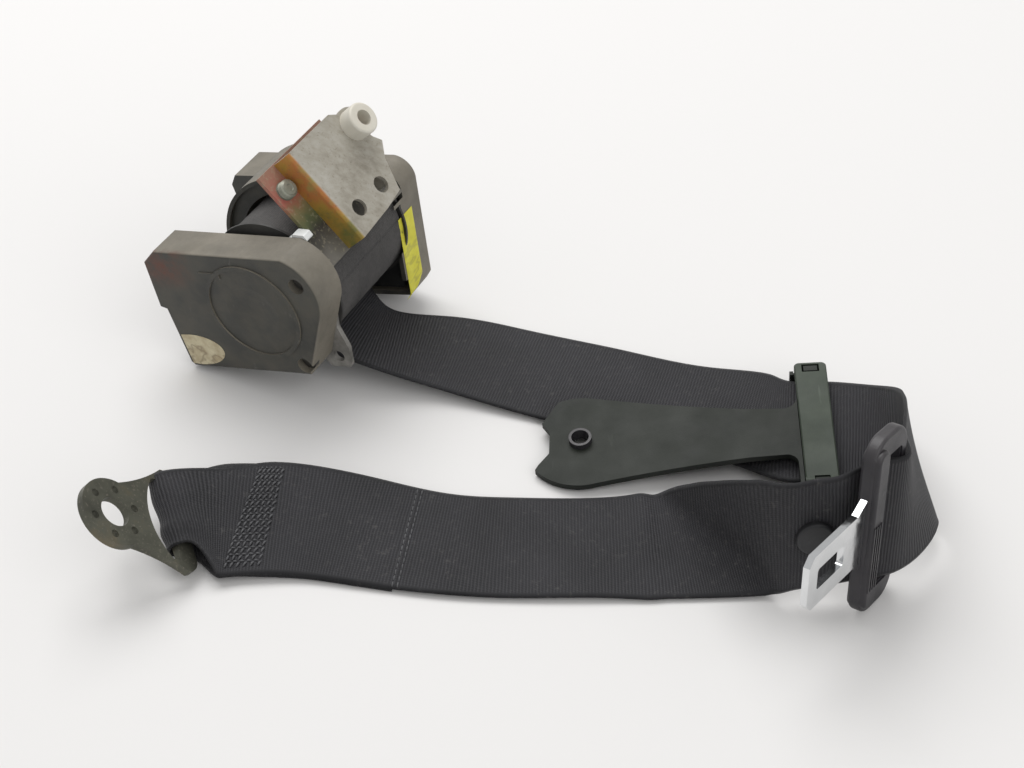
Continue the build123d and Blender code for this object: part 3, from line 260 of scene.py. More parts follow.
def natural_spline(values, knots, samples):
    """Smooth curve with continuous curvature through values at knots."""
    values = np.asarray(values, float)
    knots = np.asarray(knots, float)
    count = len(knots)
    gaps = np.diff(knots)
    system = np.zeros((count, count))
    right = np.zeros_like(values)
    system[0, 0] = system[-1, -1] = 1.0
    for i in range(1, count - 1):
        system[i, i - 1] = gaps[i - 1]
        system[i, i] = 2 * (gaps[i - 1] + gaps[i])
        system[i, i + 1] = gaps[i]
        after = (values[i + 1] - values[i]) / gaps[i]
        before = (values[i] - values[i - 1]) / gaps[i - 1]
        right[i] = 6 * (after - before)
    bend = np.linalg.solve(system, right)
    at = np.clip(np.searchsorted(knots, samples) - 1, 0, count - 2)
    h = gaps[at][:, None]
    left = ((knots[at + 1] - samples)[:, None]) / h
    near = ((samples - knots[at])[:, None]) / h
    curve = left * values[at] + near * values[at + 1]
    curve += ((left ** 3 - left) * bend[at] + (near ** 3 - near) * bend[at + 1]) * h ** 2 / 6
    return curve


def smooth_route(route, step):
    centres = np.array([tuple(c) for c, a in route])
    leans = np.array([tuple(a) for c, a in route])
    knots = np.concatenate([[0], np.cumsum(np.linalg.norm(np.diff(centres, axis=0), axis=1))])
    samples = np.linspace(0, knots[-1], int(knots[-1] / step) + 1)
    middle = natural_spline(centres, knots, samples)
    lean = natural_spline(leans, knots, samples)
    lean /= np.linalg.norm(lean, axis=1)[:, None]
    run = np.gradient(middle, samples, axis=0)
    run -= lean * (run * lean).sum(1)[:, None]
    run /= np.linalg.norm(run, axis=1)[:, None]
    face = np.cross(run, lean)
    return samples, middle, lean, face


def new_object(name, verts, faces, smooth=True, uv=None):
    mesh = bpy.data.meshes.new(name)
    mesh.from_pydata([tuple((Vector(v) + SHIFT) * MM) for v in verts], [], faces)
    mesh.validate()
    if uv is not None:
        layer = mesh.uv_layers.new(name="UVMap")
        for loop in mesh.loops:
            layer.data[loop.index].uv = uv[loop.vertex_index]
    for polygon in mesh.polygons:
        polygon.use_smooth = smooth
    obj = bpy.data.objects.new(name, mesh)
    bpy.context.scene.collection.objects.link(obj)
    return obj


def profile_points(width, thick):
    """Closed section of a strap: flat faces, rounded and slightly thicker selvedges."""
    half = width / 2
    top = []
    for i in range(STEPS_ACROSS + 1):
        u = -half + width * i / STEPS_ACROSS
        edge = half - abs(u)
        height = thick / 2
        if edge < SELVEDGE:
            height += SELVEDGE_RISE * math.sin(math.pi * min(edge / SELVEDGE, 1.0))
        if edge < SELVEDGE_ROUND:
            in_round = (SELVEDGE_ROUND - edge) / SELVEDGE_ROUND
            height = thick / 2 * math.sqrt(max(0.0, 1 - in_round ** 2)) * 0.96 + 0.02
        top.append((u, height))
    bottom = [(u, -h) for u, h in reversed(top[1:-1])]
    return top + bottom


class Nodes:
    def __init__(self, name):
        self.material = bpy.data.materials.new(name)
        self.material.use_nodes = True
        self.tree = self.material.node_tree
        self.tree.nodes.clear()
        self.out = self.add("ShaderNodeOutputMaterial")
        self.shader = self.add("ShaderNodeBsdfPrincipled")
        self.link(self.shader.outputs[0], self.out.inputs[0])
        coords = self.add("ShaderNodeTexCoord")
        self.place = coords.outputs["Object"]
        self.normal = coords.outputs["Normal"]
        self.uv = coords.outputs["UV"]

    def add(self, kind):
        return self.tree.nodes.new(kind)

    def link(self, a, b):
        self.tree.links.new(a, b)

    def put(self, socket, value):
        if isinstance(value, bpy.types.NodeSocket):
            self.link(value, socket)
        else:
            socket.default_value = value

    def noise(self, scale, detail=4.0, rough=0.55, source=None, stretch=None):
        node = self.add("ShaderNodeTexNoise")
        node.inputs["Scale"].default_value = scale
        node.inputs["Detail"].default_value = detail
        node.inputs["Roughness"].default_value = rough
        vector = source or self.place
        if stretch:
            mapping = self.add("ShaderNodeMapping")
            mapping.inputs["Scale"].default_value = stretch
            self.link(vector, mapping.inputs["Vector"])
            vector = mapping.outputs[0]
        self.link(vector, node.inputs["Vector"])
        return node.outputs["Fac"]

    def ramp(self, fac, stops):
        node = self.add("ShaderNodeValToRGB")
        ramp = node.color_ramp
        while len(ramp.elements) < len(stops):
            ramp.elements.new(0.5)
        for element, (at, value) in zip(ramp.elements, stops):
            element.position = at
            grey = isinstance(value, (int, float))
            element.color = (value, value, value, 1) if grey else (*value, 1)
        self.link(fac, node.inputs[0])
        return node.outputs[0]

    def math(self, operation, a, b=0.0, clamp=False):
        node = self.add("ShaderNodeMath")
        node.operation = operation
        node.use_clamp = clamp
        self.put(node.inputs[0], a)
        self.put(node.inputs[1], b)
        return node.outputs[0]

    def mix(self, fac, a, b):
        node = self.add("ShaderNodeMix")
        node.data_type = "RGBA"
        self.put(node.inputs[0], fac)
        for socket, value in ((node.inputs[6], a), (node.inputs[7], b)):
            if isinstance(value, tuple):
                socket.default_value = (*value, 1)
            else:
                self.link(value, socket)
        return node.outputs[2]

    def split(self, vector):
        node = self.add("ShaderNodeSeparateXYZ")
        self.link(vector, node.inputs[0])
        return node.outputs

    def local(self, matrix, index):
        """Place along one axis of a body, in mm."""
        axis = column(matrix, index)
        node = self.add("ShaderNodeVectorMath")
        node.operation = "DOT_PRODUCT"
        self.link(self.place, node.inputs[0])
        node.inputs[1].default_value = axis / MM
        return self.math("SUBTRACT", node.outputs["Value"], axis.dot(matrix.translation + SHIFT))

    def facing(self, axis):
        node = self.add("ShaderNodeVectorMath")
        node.operation = "DOT_PRODUCT"
        self.link(self.normal, node.inputs[0])
        node.inputs[1].default_value = axis
        return node.outputs["Value"]

    def span(self, value, low, high):
        """0 below low, 1 above high, smooth between."""
        node = self.add("ShaderNodeMapRange")
        node.interpolation_type = "SMOOTHSTEP"
        self.put(node.inputs["Value"], value)
        node.inputs["From Min"].default_value = low
        node.inputs["From Max"].default_value = high
        return node.outputs["Result"]

    def bump(self, height, distance, strength, after=None):
        node = self.add("ShaderNodeBump")
        node.inputs["Distance"].default_value = distance
        node.inputs["Strength"].default_value = strength
        self.link(height, node.inputs["Height"])
        if after is not None:
            self.link(after, node.inputs["Normal"])
        return node.outputs[0]

    def finish(self, color, rough, metal, normal):
        values = {"Base Color": color, "Roughness": rough, "Metallic": metal, "Normal": normal}
        for name, value in values.items():
            self.put(self.shader.inputs[name], value)
        return self.material


def plastic(name, dark, light, rough, dust=None, top_dust_and_light_amount=0.0, grain=0.00012, shine=0.42):
    """Moulded plastic with a fine grain, cloudy tone and a tone on the faces that look up: real dust
    where that tone is darker than the plastic, painted light from above where it is lighter.
    """
    n = Nodes(name)
    cloud = n.noise(55.0, 6.0, 0.6)
    color = n.mix(n.ramp(cloud, ((0.3, 0.0), (0.72, 1.0))), dark, light)
    scratch = n.noise(240.0, 3.0, 0.7, stretch=(1.0, 0.12, 0.6))
    scratch = n.math("MULTIPLY", n.ramp(scratch, ((0.66, 0.0), (0.74, 1.0))), 0.25)
    color = n.mix(scratch, color, tuple(min(1.0, c * 2.6 + 0.03) for c in light))
    if dust is not None:
        # Faces that look up mix toward the dust colour: real dust on the light nylon, a painted
        # highlight of top light on the dark plastics.
        lift = n.ramp(n.split(n.normal)[2], ((0.25, 0.0), (0.85, 1.0)))
        patch = n.ramp(n.noise(34.0, 8.0, 0.65), ((0.28, 0.25), (0.66, 1.0)))
        fac = n.math("MULTIPLY", n.math("MULTIPLY", lift, patch), top_dust_and_light_amount, clamp=True)
        color = n.mix(fac, color, dust)
    rough_map = n.ramp(n.noise(90.0, 4.0), ((0.3, rough[0]), (0.7, rough[1])))
    fine = n.noise(2600.0, 2.0, 0.6)
    bump = n.bump(fine, grain, 0.6)
    bump = n.bump(n.noise(160.0, 3.0), 0.0003, 0.25, after=bump)
    n.shader.inputs["Specular IOR Level"].default_value = shine
    return n.finish(color, rough_map, 0.0, bump)


def metal(name, tones, rough, metallic, grain=0.00006, speck=None):
    """Sheet metal with clouded plating, fine specks and small dents."""
    n = Nodes(name)
    cloud = n.noise(60.0, 8.0, 0.62)
    stops = [(0.28 + 0.44 * i / (len(tones) - 1), tone) for i, tone in enumerate(tones)]
    color = n.ramp(cloud, stops)
    if speck:
        dots = n.ramp(n.noise(900.0, 2.0, 0.5), ((0.60, 0.0), (0.70, 1.0)))
        color = n.mix(n.math("MULTIPLY", dots, 0.5), color, speck)
    rough_map = n.ramp(n.noise(126.0, 5.0), ((0.3, rough[0]), (0.72, rough[1])))
    bump = n.bump(n.noise(1400.0, 3.0), grain, 0.6)
    bump = n.bump(n.noise(120.0, 3.0), 0.0004, 0.25, after=bump)
    return n.finish(color, rough_map, metallic, bump)


def web_material(name, dark, light, dust):
    """Woven strap: ribs across the width, yarns along it, a smoother band along each edge."""
    rib, yarn = 1.15, 0.8
    n = Nodes(name)
    uv = n.split(n.uv)
    across = n.math("MULTIPLY", uv[0], UV_SIZE)
    along = n.math("MULTIPLY", uv[1], UV_SIZE)
    wobble = n.math("MULTIPLY", n.noise(260.0, 2.0), 0.5)
    phase = n.math("MULTIPLY", n.math("ADD", along, wobble), 2 * math.pi / rib)
    ribs = n.math("ADD", n.math("MULTIPLY", n.math("SINE", phase), 0.5), 0.5)
    yarn_phase = n.math("MULTIPLY", across, 2 * math.pi / yarn)
    yarn_phase = n.math("ADD", yarn_phase, n.math("MULTIPLY", phase, 0.5))
    yarns = n.math("ADD", n.math("MULTIPLY", n.math("SINE", yarn_phase), 0.5), 0.5)
    middle = n.math("ABSOLUTE", n.math("SUBTRACT", across, UV_START))
    body = n.ramp(n.math("DIVIDE", middle, WEB_WIDTH / 2), ((0.90, 1.0), (0.935, 0.15)))
    weave = n.math("ADD", n.math("MULTIPLY", ribs, 0.72), n.math("MULTIPLY", yarns, 0.28))
    weave = n.math("MULTIPLY", weave, body)
    cloud = n.ramp(n.noise(26.0, 5.0, 0.6), ((0.3, 0.0), (0.7, 1.0)))
    tone = n.math("ADD", n.math("MULTIPLY", weave, 0.62), n.math("MULTIPLY", cloud, 0.38))
    color = n.mix(tone, dark, light)
    lint = n.ramp(n.noise(420.0, 5.0, 0.7), ((0.56, 0.0), (0.74, 1.0)))
    patch = n.ramp(n.noise(48.0, 5.0, 0.6), ((0.35, 0.0), (0.68, 1.0)))
    color = n.mix(n.math("MULTIPLY", n.math("MULTIPLY", lint, patch), 0.8), color, dust)
    bump = n.bump(weave, 0.00035, 0.85)
    bump = n.bump(n.noise(3200.0, 2.0), 0.00008, 0.5, after=bump)
    n.shader.inputs["Sheen Weight"].default_value = 0.08
    n.shader.inputs["Sheen Roughness"].default_value = 0.4
    n.shader.inputs["Specular IOR Level"].default_value = 0.3
    return n.finish(color, n.ramp(cloud, ((0.0, 0.62), (1.0, 0.78))), 0.0, bump)


def cover_material(name, stain):
    """Charcoal moulding, beige on its top and right faces, partly dust and partly painted light; stain
    adds rust-brown dirt at a corner.
    """
    n = Nodes(name)
    cloud = n.ramp(n.noise(48.0, 6.0, 0.6), ((0.3, 0.0), (0.72, 1.0)))
    color = n.mix(cloud, (0.034, 0.034, 0.030), (0.075, 0.074, 0.064))
    scratch = n.ramp(n.noise(240.0, 3.0, 0.7, stretch=(1.0, 0.12, 0.6)), ((0.66, 0.0), (0.74, 1.0)))
    color = n.mix(n.math("MULTIPLY", scratch, 0.25), color, (0.17, 0.165, 0.15))
    # Dust and painted light: faces that look up or to the retractor's right are mixed toward a light
    # beige.
    top = n.span(n.facing(Vector((0.0, 0.0, 1.0))), 0.45, 0.85)
    right = n.span(n.facing(column(RETRACTOR, 0)), 0.30, 0.80)
    patch = n.ramp(n.noise(34.0, 8.0, 0.65), ((0.28, 0.45), (0.66, 1.0)))
    dust = n.math("MULTIPLY", n.math("MAXIMUM", top, right), patch)
    dust = n.math("MULTIPLY", dust, 0.88, clamp=True)
    color = n.mix(dust, color, (0.25, 0.225, 0.18))
    grime = n.ramp(n.noise(95.0, 6.0, 0.7), ((0.42, 0.0), (0.66, 1.0)))
    color = n.mix(n.math("MULTIPLY", grime, 0.35), color, (0.10, 0.088, 0.066))
    if stain:
        left = n.math("SUBTRACT", 1.0, n.span(n.local(RETRACTOR, 0), 8.0, 26.0))
        high = n.span(n.local(RETRACTOR, 2), 36.0, 46.0)
        front = n.math("SUBTRACT", 1.0, n.span(n.local(RETRACTOR, 1), 0.6, 3.0))
        mark = n.math("MULTIPLY", n.math("MULTIPLY", left, high), n.math("MULTIPLY", front, grime))
        color = n.mix(n.math("MULTIPLY", mark, 0.8), color, (0.13, 0.045, 0.030))
    bump = n.bump(n.noise(2600.0, 2.0, 0.6), 0.00012, 0.6)
    bump = n.bump(n.noise(160.0, 3.0), 0.0003, 0.3, after=bump)
    n.shader.inputs["Specular IOR Level"].default_value = 0.38
    return n.finish(color, n.ramp(cloud, ((0.0, 0.5), (1.0, 0.68))), 0.0, bump)


def frame_material():
    """Chromated web, red to olive to dirt along it; black plates and a worn lug."""
    n = Nodes("frame_chromate")
    cloud = n.noise(85.0, 7.0, 0.62)
    down = n.math("ADD", n.local(BRACKET, 0), n.math("MULTIPLY", n.math("SUBTRACT", cloud, 0.5), 16.0))
    tones = ((0.0, (0.30, 0.17, 0.12)), (0.22, (0.42, 0.13, 0.10)), (0.42, (0.20, 0.17, 0.08)),
             (0.58, (0.10, 0.12, 0.055)), (0.76, (0.045, 0.042, 0.036)), (1.0, (0.16, 0.15, 0.13)))
    band = n.ramp(n.span(down, -38.0, 8.0), tones)
    speck = n.ramp(n.noise(700.0, 2.0, 0.5), ((0.55, 0.0), (0.68, 1.0)))
    band = n.mix(n.math("MULTIPLY", speck, 0.4), band, (0.34, 0.31, 0.22))
    black = n.ramp(cloud, ((0.35, 0.0), (0.75, 1.0)))
    black = n.mix(black, (0.008, 0.009, 0.009), (0.030, 0.030, 0.028))
    worn = n.ramp(cloud, ((0.40, 0.0), (0.62, 1.0)))
    worn = n.mix(worn, (0.10, 0.095, 0.085), (0.26, 0.25, 0.23))
    front = n.math("SUBTRACT", 1.0, n.span(n.local(RETRACTOR, 1), 17.4, 18.4))
    plates = n.mix(front, black, worn)
    web = n.span(n.local(BRACKET, 2), 28.6, 29.1)
    color = n.mix(web, plates, band)
    bump = n.bump(n.noise(900.0, 4.0), 0.00008, 0.7)
    bump = n.bump(n.noise(130.0, 4.0), 0.0004, 0.3, after=bump)
    rough = n.ramp(cloud, ((0.3, 0.42), (0.7, 0.62)))
    return n.finish(color, rough, n.math("MULTIPLY", web, 0.35), bump)


def bracket_material():
    """Zinc plate with brushed streaks; the folded flange carries yellow chromate."""
    n = Nodes("bracket_zinc")
    cloud = n.noise(60.0, 7.0, 0.62)
    streak = n.noise(420.0, 4.0, 0.6, stretch=(0.12, 1.0, 1.0))
    tone = n.math("ADD", n.math("MULTIPLY", cloud, 0.55), n.math("MULTIPLY", streak, 0.45))
    greys = ((0.32, (0.26, 0.235, 0.19)), (0.5, (0.37, 0.345, 0.29)), (0.68, (0.45, 0.43, 0.38)))
    yellows = ((0.32, (0.20, 0.19, 0.05)), (0.46, (0.42, 0.26, 0.05)), (0.58, (0.46, 0.17, 0.05)),
               (0.70, (0.30, 0.27, 0.08)))
    plain = n.ramp(tone, greys)
    chrome = n.ramp(cloud, yellows)
    near = n.span(n.facing(-column(BRACKET, 1)), 0.35, 0.75)
    front = n.math("SUBTRACT", 1.0, n.span(n.local(BRACKET, 1), 31.5, 33.5))
    color = n.mix(n.math("MULTIPLY", near, front), plain, chrome)
    dots = n.ramp(n.noise(900.0, 2.0, 0.5), ((0.60, 0.0), (0.72, 1.0)))
    color = n.mix(n.math("MULTIPLY", dots, 0.35), color, (0.15, 0.13, 0.09))
    bump = n.bump(n.noise(1400.0, 3.0), 0.00006, 0.6)
    bump = n.bump(streak, 0.00012, 0.5, after=bump)
    return n.finish(color, n.ramp(cloud, ((0.3, 0.42), (0.72, 0.6))), 0.3, bump)


def roll_material():
    """Wound strap seen from its rim: smooth, dusty, with faint streaks round it."""
    n = Nodes("web_roll")
    uv = n.split(n.uv)
    streak = n.noise(90.0, 5.0, 0.65, source=n.uv, stretch=(6.0, 0.5, 1.0))
    cloud = n.noise(40.0, 6.0, 0.6)
    tone = n.ramp(n.math("ADD", n.math("MULTIPLY", streak, 0.6), n.math("MULTIPLY", cloud, 0.4)),
                  ((0.34, 0.0), (0.68, 1.0)))
    color = n.mix(tone, (0.040, 0.039, 0.040), (0.125, 0.120, 0.115))
    ribs = n.math("SINE", n.math("MULTIPLY", uv[1], UV_SIZE * 2 * math.pi / 0.9))
    bump = n.bump(ribs, 0.00008, 0.5)
    bump = n.bump(n.noise(2400.0, 2.0), 0.0001, 0.5, after=bump)
    n.shader.inputs["Specular IOR Level"].default_value = 0.25
    return n.finish(color, 0.82, 0.0, bump)


def paper(name, base, stain, fold):
    n = Nodes(name)
    cloud = n.ramp(n.noise(140.0, 7.0, 0.65), ((0.35, 0.0), (0.75, 1.0)))
    color = n.mix(cloud, base, stain)
    crease = n.noise(70.0, 3.0, 0.6, stretch=(1.0, 0.3, 1.0))
    crease = n.ramp(crease, ((0.47, 0.0), (0.5, 1.0), (0.53, 0.0)))
    color = n.mix(n.math("MULTIPLY", crease, 0.6), color, fold)
    bump = n.bump(n.noise(90.0, 4.0), 0.0006, 0.5)
    return n.finish(color, n.ramp(cloud, ((0.0, 0.5), (1.0, 0.72))), 0.0, bump)


def dress(node, material):
    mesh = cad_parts[node].data
    mesh.materials.clear()
    mesh.materials.append(material)


def loop_route():
    """Round the anchor's bar, from above to below."""
    across = ANCHOR_ACROSS if ANCHOR_ACROSS.y > 0 else -ANCHOR_ACROSS
    start = Vector(RUN_DOUBLED[-1][0])
    back = start - ANCHOR_PLACE
    back -= across * back.dot(across)
    back.normalize()
    up = back.cross(across)
    if up.z < 0:
        up = -up
    points = []
    for angle in LOOP_ANGLES:
        t = math.radians(angle)
        spoke = back * LOOP_RADIUS * math.cos(t) + up * LOOP_RADIUS * math.sin(t)
        points.append((ANCHOR_PLACE + spoke, across))
    return points


def under_route():
    """The doubled end, just below the strap."""
    stations = [(Vector(c), Vector(a).normalized()) for c, a in RUN_DOUBLED]
    lowered = []
    for i, (centre, lean) in enumerate(stations):
        run = stations[min(i + 1, len(stations) - 1)][0] - stations[max(i - 1, 0)][0]
        down = run.cross(lean).normalized()
        if down.z > 0:
            down = -down
        lowered.append((centre + down * UNDER_DROP, lean))
    return lowered[::-1]


def smooth_step(t):
    t = min(max(t, 0.0), 1.0)
    return t * t * (3 - 2 * t)


def wave_at(s, u):
    """Slight waviness of the strap's face."""
    return WAVE * math.sin(s * 0.061 + 1.1) * math.sin(u * 0.13 + s * 0.017)


def bent_section(x, widths):
    """Places (y, z) and slopes across the strap where it bends, by distance from its middle."""
    table = TRAVELLING_BEND[::-1]
    at = [row[0] for row in table]
    listed = [[row[k] for row in table] for k in range(1, 6)]
    y, z, where, low, high = [float(np.interp(x, at, values)) for values in listed]
    places = {}
    previous = -WEB_WIDTH / 2
    for u in sorted(widths):
        steps = max(1, int((u - previous) / 0.5))
        for i in range(steps):
            mid = previous + (u - previous) * (i + 0.5) / steps
            slope = math.radians(low + (high - low) * smooth_step((mid - where) / BEND_WIDTH + 0.5))
            y += math.cos(slope) * (u - previous) / steps
            z += math.sin(slope) * (u - previous) / steps
        previous = u
        slope = math.radians(low + (high - low) * smooth_step((u - where) / BEND_WIDTH + 0.5))
        places[u] = (y, z, slope)
    return places


def in_bend(centre, s, last_flat):
    """How far the strap follows the travelling bend here: 0 outside it, 1 well inside."""
    if s > last_flat or centre[1] > BEND_SIDE:
        return 0.0
    begun = smooth_step((BEND_FROM - centre[0]) / BEND_EASE)
    to_go = smooth_step((centre[0] - BEND_TO) / BEND_EASE)
    return begun * to_go


def lift_off_table(ring):
    """Raise each pair of upper and lower points of a section that would sink into the table."""
    count = len(ring)
    for j in range(1, count // 2):
        pair = ring[j], ring[count - j]
        lift = TABLE_GAP - SHIFT.z - min(point.z for point in pair)
        if lift > 0:
            for point in pair:
                point.z += lift


def build_strap():
    """One strap from the roll through guide and tongue, round the anchor's bar and back below."""
    route = strap_route()
    top_count = len(route)
    route = route + loop_route() + under_route()
    samples, middle, lean, face = smooth_route(route, STEP_ALONG)
    knots = np.array([tuple(c) for c, a in route])
    knots = np.concatenate([[0], np.cumsum(np.linalg.norm(np.diff(knots, axis=0), axis=1))])
    last_flat = knots[top_count - 1]
    loop_in = knots[top_count]
    loop_out = knots[top_count + len(LOOP_ANGLES) - 1]
    first_under = knots[top_count + len(LOOP_ANGLES)]
    section = profile_points(WEB_WIDTH, WEB_THICK)
    count = len(section)
    widths = {u for u, h in section}
    verts, uv, faces = [], [], []
    for i, s in enumerate(samples):
        if s < loop_in:
            near = 1 - smooth_step((s - last_flat + NEAR_EASE) / (loop_in - last_flat + NEAR_EASE))
            far = 1 - smooth_step((s - last_flat + FAR_EASE) / (loop_in - last_flat + FAR_EASE))
        else:
            near = far = smooth_step((s - loop_out) / (first_under - loop_out + END_EASE))
        tight = 1 - min(near, far)
        bend = in_bend(middle[i], s, last_flat)
        bent = bent_section(middle[i][0], widths) if bend > 0 else None
        ring = []
        for u, h in section:
            tightest, free = (NEAR_SQUEEZE, near) if u < 0 else (FAR_SQUEEZE, far)
            squeeze = tightest + (1 - tightest) * free
            pleat = PLEAT * tight * math.sin(u * 0.31 + 0.8)
            wave = wave_at(s, u)
            point = Vector(middle[i] + lean[i] * u * squeeze + face[i] * (h + wave + pleat))
            if bent:
                y, z, slope = bent[u]
                out = Vector((0.0, -math.sin(slope), math.cos(slope)))
                if out.dot(Vector(face[i])) < 0:
                    out = -out
                curved = Vector((point.x, y, z)) + out * h
                point = point.lerp(curved, bend)
            ring.append(point)
        lift_off_table(ring)
        verts += ring
        uv += [((u + UV_START) / UV_SIZE, s / UV_SIZE) for u, h in section]
    rows = len(samples)
    for i in range(rows - 1):
        for j in range(count):
            k = (j + 1) % count
            faces.append((i * count + j, i * count + k, (i + 1) * count + k, (i + 1) * count + j))
    faces.append(tuple(range(count)))
    faces.append(tuple((rows - 1) * count + j for j in reversed(range(count))))
    strap = new_object("strap", verts, faces, uv=uv)
    return strap, samples, middle, lean, face


def build_roll():
    """The wound strap: a ribbed rim, and one rounded selvedge for each turn on its ends."""
    segments, rim_steps = 160, 30
    turns = int((ROLL_RADIUS - DRUM_RADIUS) / TURN_PITCH)
    profile = []
    pitch = (ROLL_RADIUS - DRUM_RADIUS - DRUM_GAP) / turns
    for end, sign in ((ROLL_FRONT, 1), (ROLL_BACK, -1)):
        side = []
        for k in range(turns):
            base = DRUM_RADIUS + DRUM_GAP + k * pitch
            shift = 0.35 * math.sin(k * 2.4 + (0.7 if sign > 0 else 2.1)) + 0.35
            for part, inset in TURN_SECTION:
                side.append((base + part * pitch, end + sign * (inset + shift)))
        if sign < 0:
            side.reverse()
        profile += side
        if sign > 0:
            for k in range(1, rim_steps):
                y = ROLL_FRONT + (ROLL_BACK - ROLL_FRONT) * k / rim_steps
                profile.append((ROLL_RADIUS - 0.1 - RIM_WAVE * math.sin(k * 0.9) ** 2, y))
    verts, uv, faces = [], [], []
    count = len(profile)
    for i in range(segments):
        angle = 2 * math.pi * i / segments
        for r, y in profile:
            place = Vector((AXIS_X + r * math.cos(angle), y, AXIS_Z + r * math.sin(angle)))
            verts.append(RETRACTOR @ place)
            uv.append(((y - ROLL_MIDDLE + UV_START) / UV_SIZE, r * angle / UV_SIZE))
    for i in range(segments):
        n = (i + 1) % segments
        for j in range(count):
            k = (j + 1) % count
            faces.append((i * count + j, n * count + j, n * count + k, i * count + k))
    return new_object("roll_turns", verts, faces, uv=uv)


def stitch_mesh(name, stitches, radius):
    """Short rounded threads, each from one point to another, bowed up between them."""
    verts, faces = [], []
    sides, rings = 6, 7
    for start, end, up in stitches:
        run = end - start
        across = run.cross(up).normalized()
        base = len(verts)
        for i in range(rings):
            t = i / (rings - 1)
            fat = radius * (0.55 + 0.45 * math.sin(math.pi * t))
            centre = start + run * t + up * (radius * 1.1 * math.sin(math.pi * t) - radius * 0.35)
            for j in range(sides):
                a = 2 * math.pi * j / sides
                verts.append(centre + across * fat * math.cos(a) + up * fat * math.sin(a))
        for i in range(rings - 1):
            for j in range(sides):
                k = (j + 1) % sides
                faces.append((base + i * sides + j, base + i * sides + k,
                              base + (i + 1) * sides + k, base + (i + 1) * sides + j))
        faces.append(tuple(base + j for j in reversed(range(sides))))
        faces.append(tuple(base + (rings - 1) * sides + j for j in range(sides)))
    return new_object(name, verts, faces)


def build_stub():
    """Threaded end of the bracket's screw."""
    profile = [(0.0, STUB_FOOT), (STUB_WASHER, STUB_FOOT), (STUB_WASHER, STUB_WASHER_TOP)]
    z = STUB_THREAD_FROM
    while z < STUB_TOP - STUB_PITCH:
        profile += [(STUB_ROOT, z), (STUB_RADIUS, z + STUB_PITCH / 2)]
        z += STUB_PITCH
    profile += [(STUB_ROOT, z), (STUB_RIM, STUB_TOP), (STUB_DIMPLE, STUB_TOP)]
    profile += [(STUB_DIMPLE_FLOOR, STUB_DIMPLE_DEEP), (0.0, STUB_DIMPLE_DEEP)]
    sides = 40
    verts, faces = [], []
    for i in range(sides):
        a = 2 * math.pi * i / sides
        for radius, z in profile:
            x = STUB_PLACE[0] + radius * math.cos(a)
            y = STUB_PLACE[1] + radius * math.sin(a)
            verts.append(BRACKET @ Vector((x, y, z)))
    count = len(profile)
    for i in range(sides):
        n = (i + 1) % sides
        for j in range(count - 1):
            faces.append((i * count + j, n * count + j, n * count + j + 1, i * count + j + 1))
    return new_object("stub_thread", verts, faces, smooth=False)


def build_cream_label():
    """Blank sticker with one straight side, stuck low on the front cover."""
    steps, middle, reach, half = 24, (6.0, 8.7), 14.4, 7.2
    points = [(1.6, 1.8), (1.6, 15.6)]
    for i in range(steps + 1):
        a = math.pi / 2 - math.pi * i / steps
        points.append((middle[0] + reach * math.cos(a), middle[1] + half * math.sin(a)))
    verts = [RETRACTOR @ Vector((x, y, z)) for y in (-0.14, -0.01) for x, z in points]
    count = len(points)
    faces = [tuple(range(count)), tuple(reversed(range(count, 2 * count)))]
    for i in range(count):
        n = (i + 1) % count
        faces.append((i, i + count, n + count, n))
    return new_object("cream_sticker", verts, faces, smooth=False)


def build_yellow_label():
    """Creased blank sticker down the side of the rear cover, wrapped round its lower corner."""
    low, high, under = Vector((64.0, 0, -7.2)), Vector((73.0, 0, 37.5)), Vector((61.0, 0, -10.4))
    along = (high - low).normalized()
    beyond = (low - under).normalized()
    out = Vector((along.z, 0, -along.x))
    below = Vector((beyond.z, 0, -beyond.x))
    rows, cells = 60, 14
    top, length = 36.0, 40.2
    near_edge, far_edge, slant_from, slant = 64.75, 75.4, 3.6, 1.36
    verts, faces = [], []
    for i in range(rows + 1):
        t = top - length * i / rows
        corner = smooth_step((t + 0.6) / 1.2)
        base = low + along * t if t > 0 else low + beyond * t
        normal = (out * corner + below * (1 - corner)).normalized()
        far = far_edge if t > slant_from else far_edge - (slant_from - t) * slant
        for j in range(cells + 1):
            y = near_edge + (far - near_edge) * j / cells
            crease = 0.16 + 0.13 * math.sin(t * 0.9 + j * 0.5) * math.sin(t * 0.31 + 1.0)
            crease += 0.05 * random.random()
            edge = min(j, cells - j, i, rows - i)
            lift = 0.12 + (crease if edge > 0 else 0.0)
            point = base + normal * lift
            verts.append(RETRACTOR @ Vector((point.x, y, point.z)))
    for i in range(rows):
        for j in range(cells):
            k = i * (cells + 1) + j
            faces.append((k, k + 1, k + cells + 2, k + cells + 1))
    return new_object("yellow_sticker", verts, faces)


def strap_point(strap_data, s, u, lift):
    """A place on the strap's upper face, and the way up from it."""
    samples, middle, lean, face = strap_data
    i = int(np.clip(np.searchsorted(samples, s), 1, len(samples) - 1))
    t = (s - samples[i - 1]) / (samples[i] - samples[i - 1])
    centre, across, out = [Vector(a[i - 1] * (1 - t) + a[i] * t) for a in (middle, lean, face)]
    out = out.normalized()
    up = out if out.z > 0 else -out
    return centre + across * u + out * wave_at(s, u) + up * (WEB_THICK / 2 + lift), up


def place_along(strap_data, x):
    """How far along the strap its middle comes to x on the lower run, above the doubled end."""
    samples, middle = strap_data[:2]
    lower = [i for i, at in enumerate(middle) if at[1] < LOWER_RUN_Y and at[0] < LOWER_RUN_X]
    upper = lower[:int(len(lower) * TOP_LAYER_PART)]
    return samples[min(upper, key=lambda i: abs(middle[i][0] - x))]


def stitch_between(strap_data, start, end, lift):
    a, up = strap_point(strap_data, *start, lift)
    b, _ = strap_point(strap_data, *end, lift)
    return a, b, up


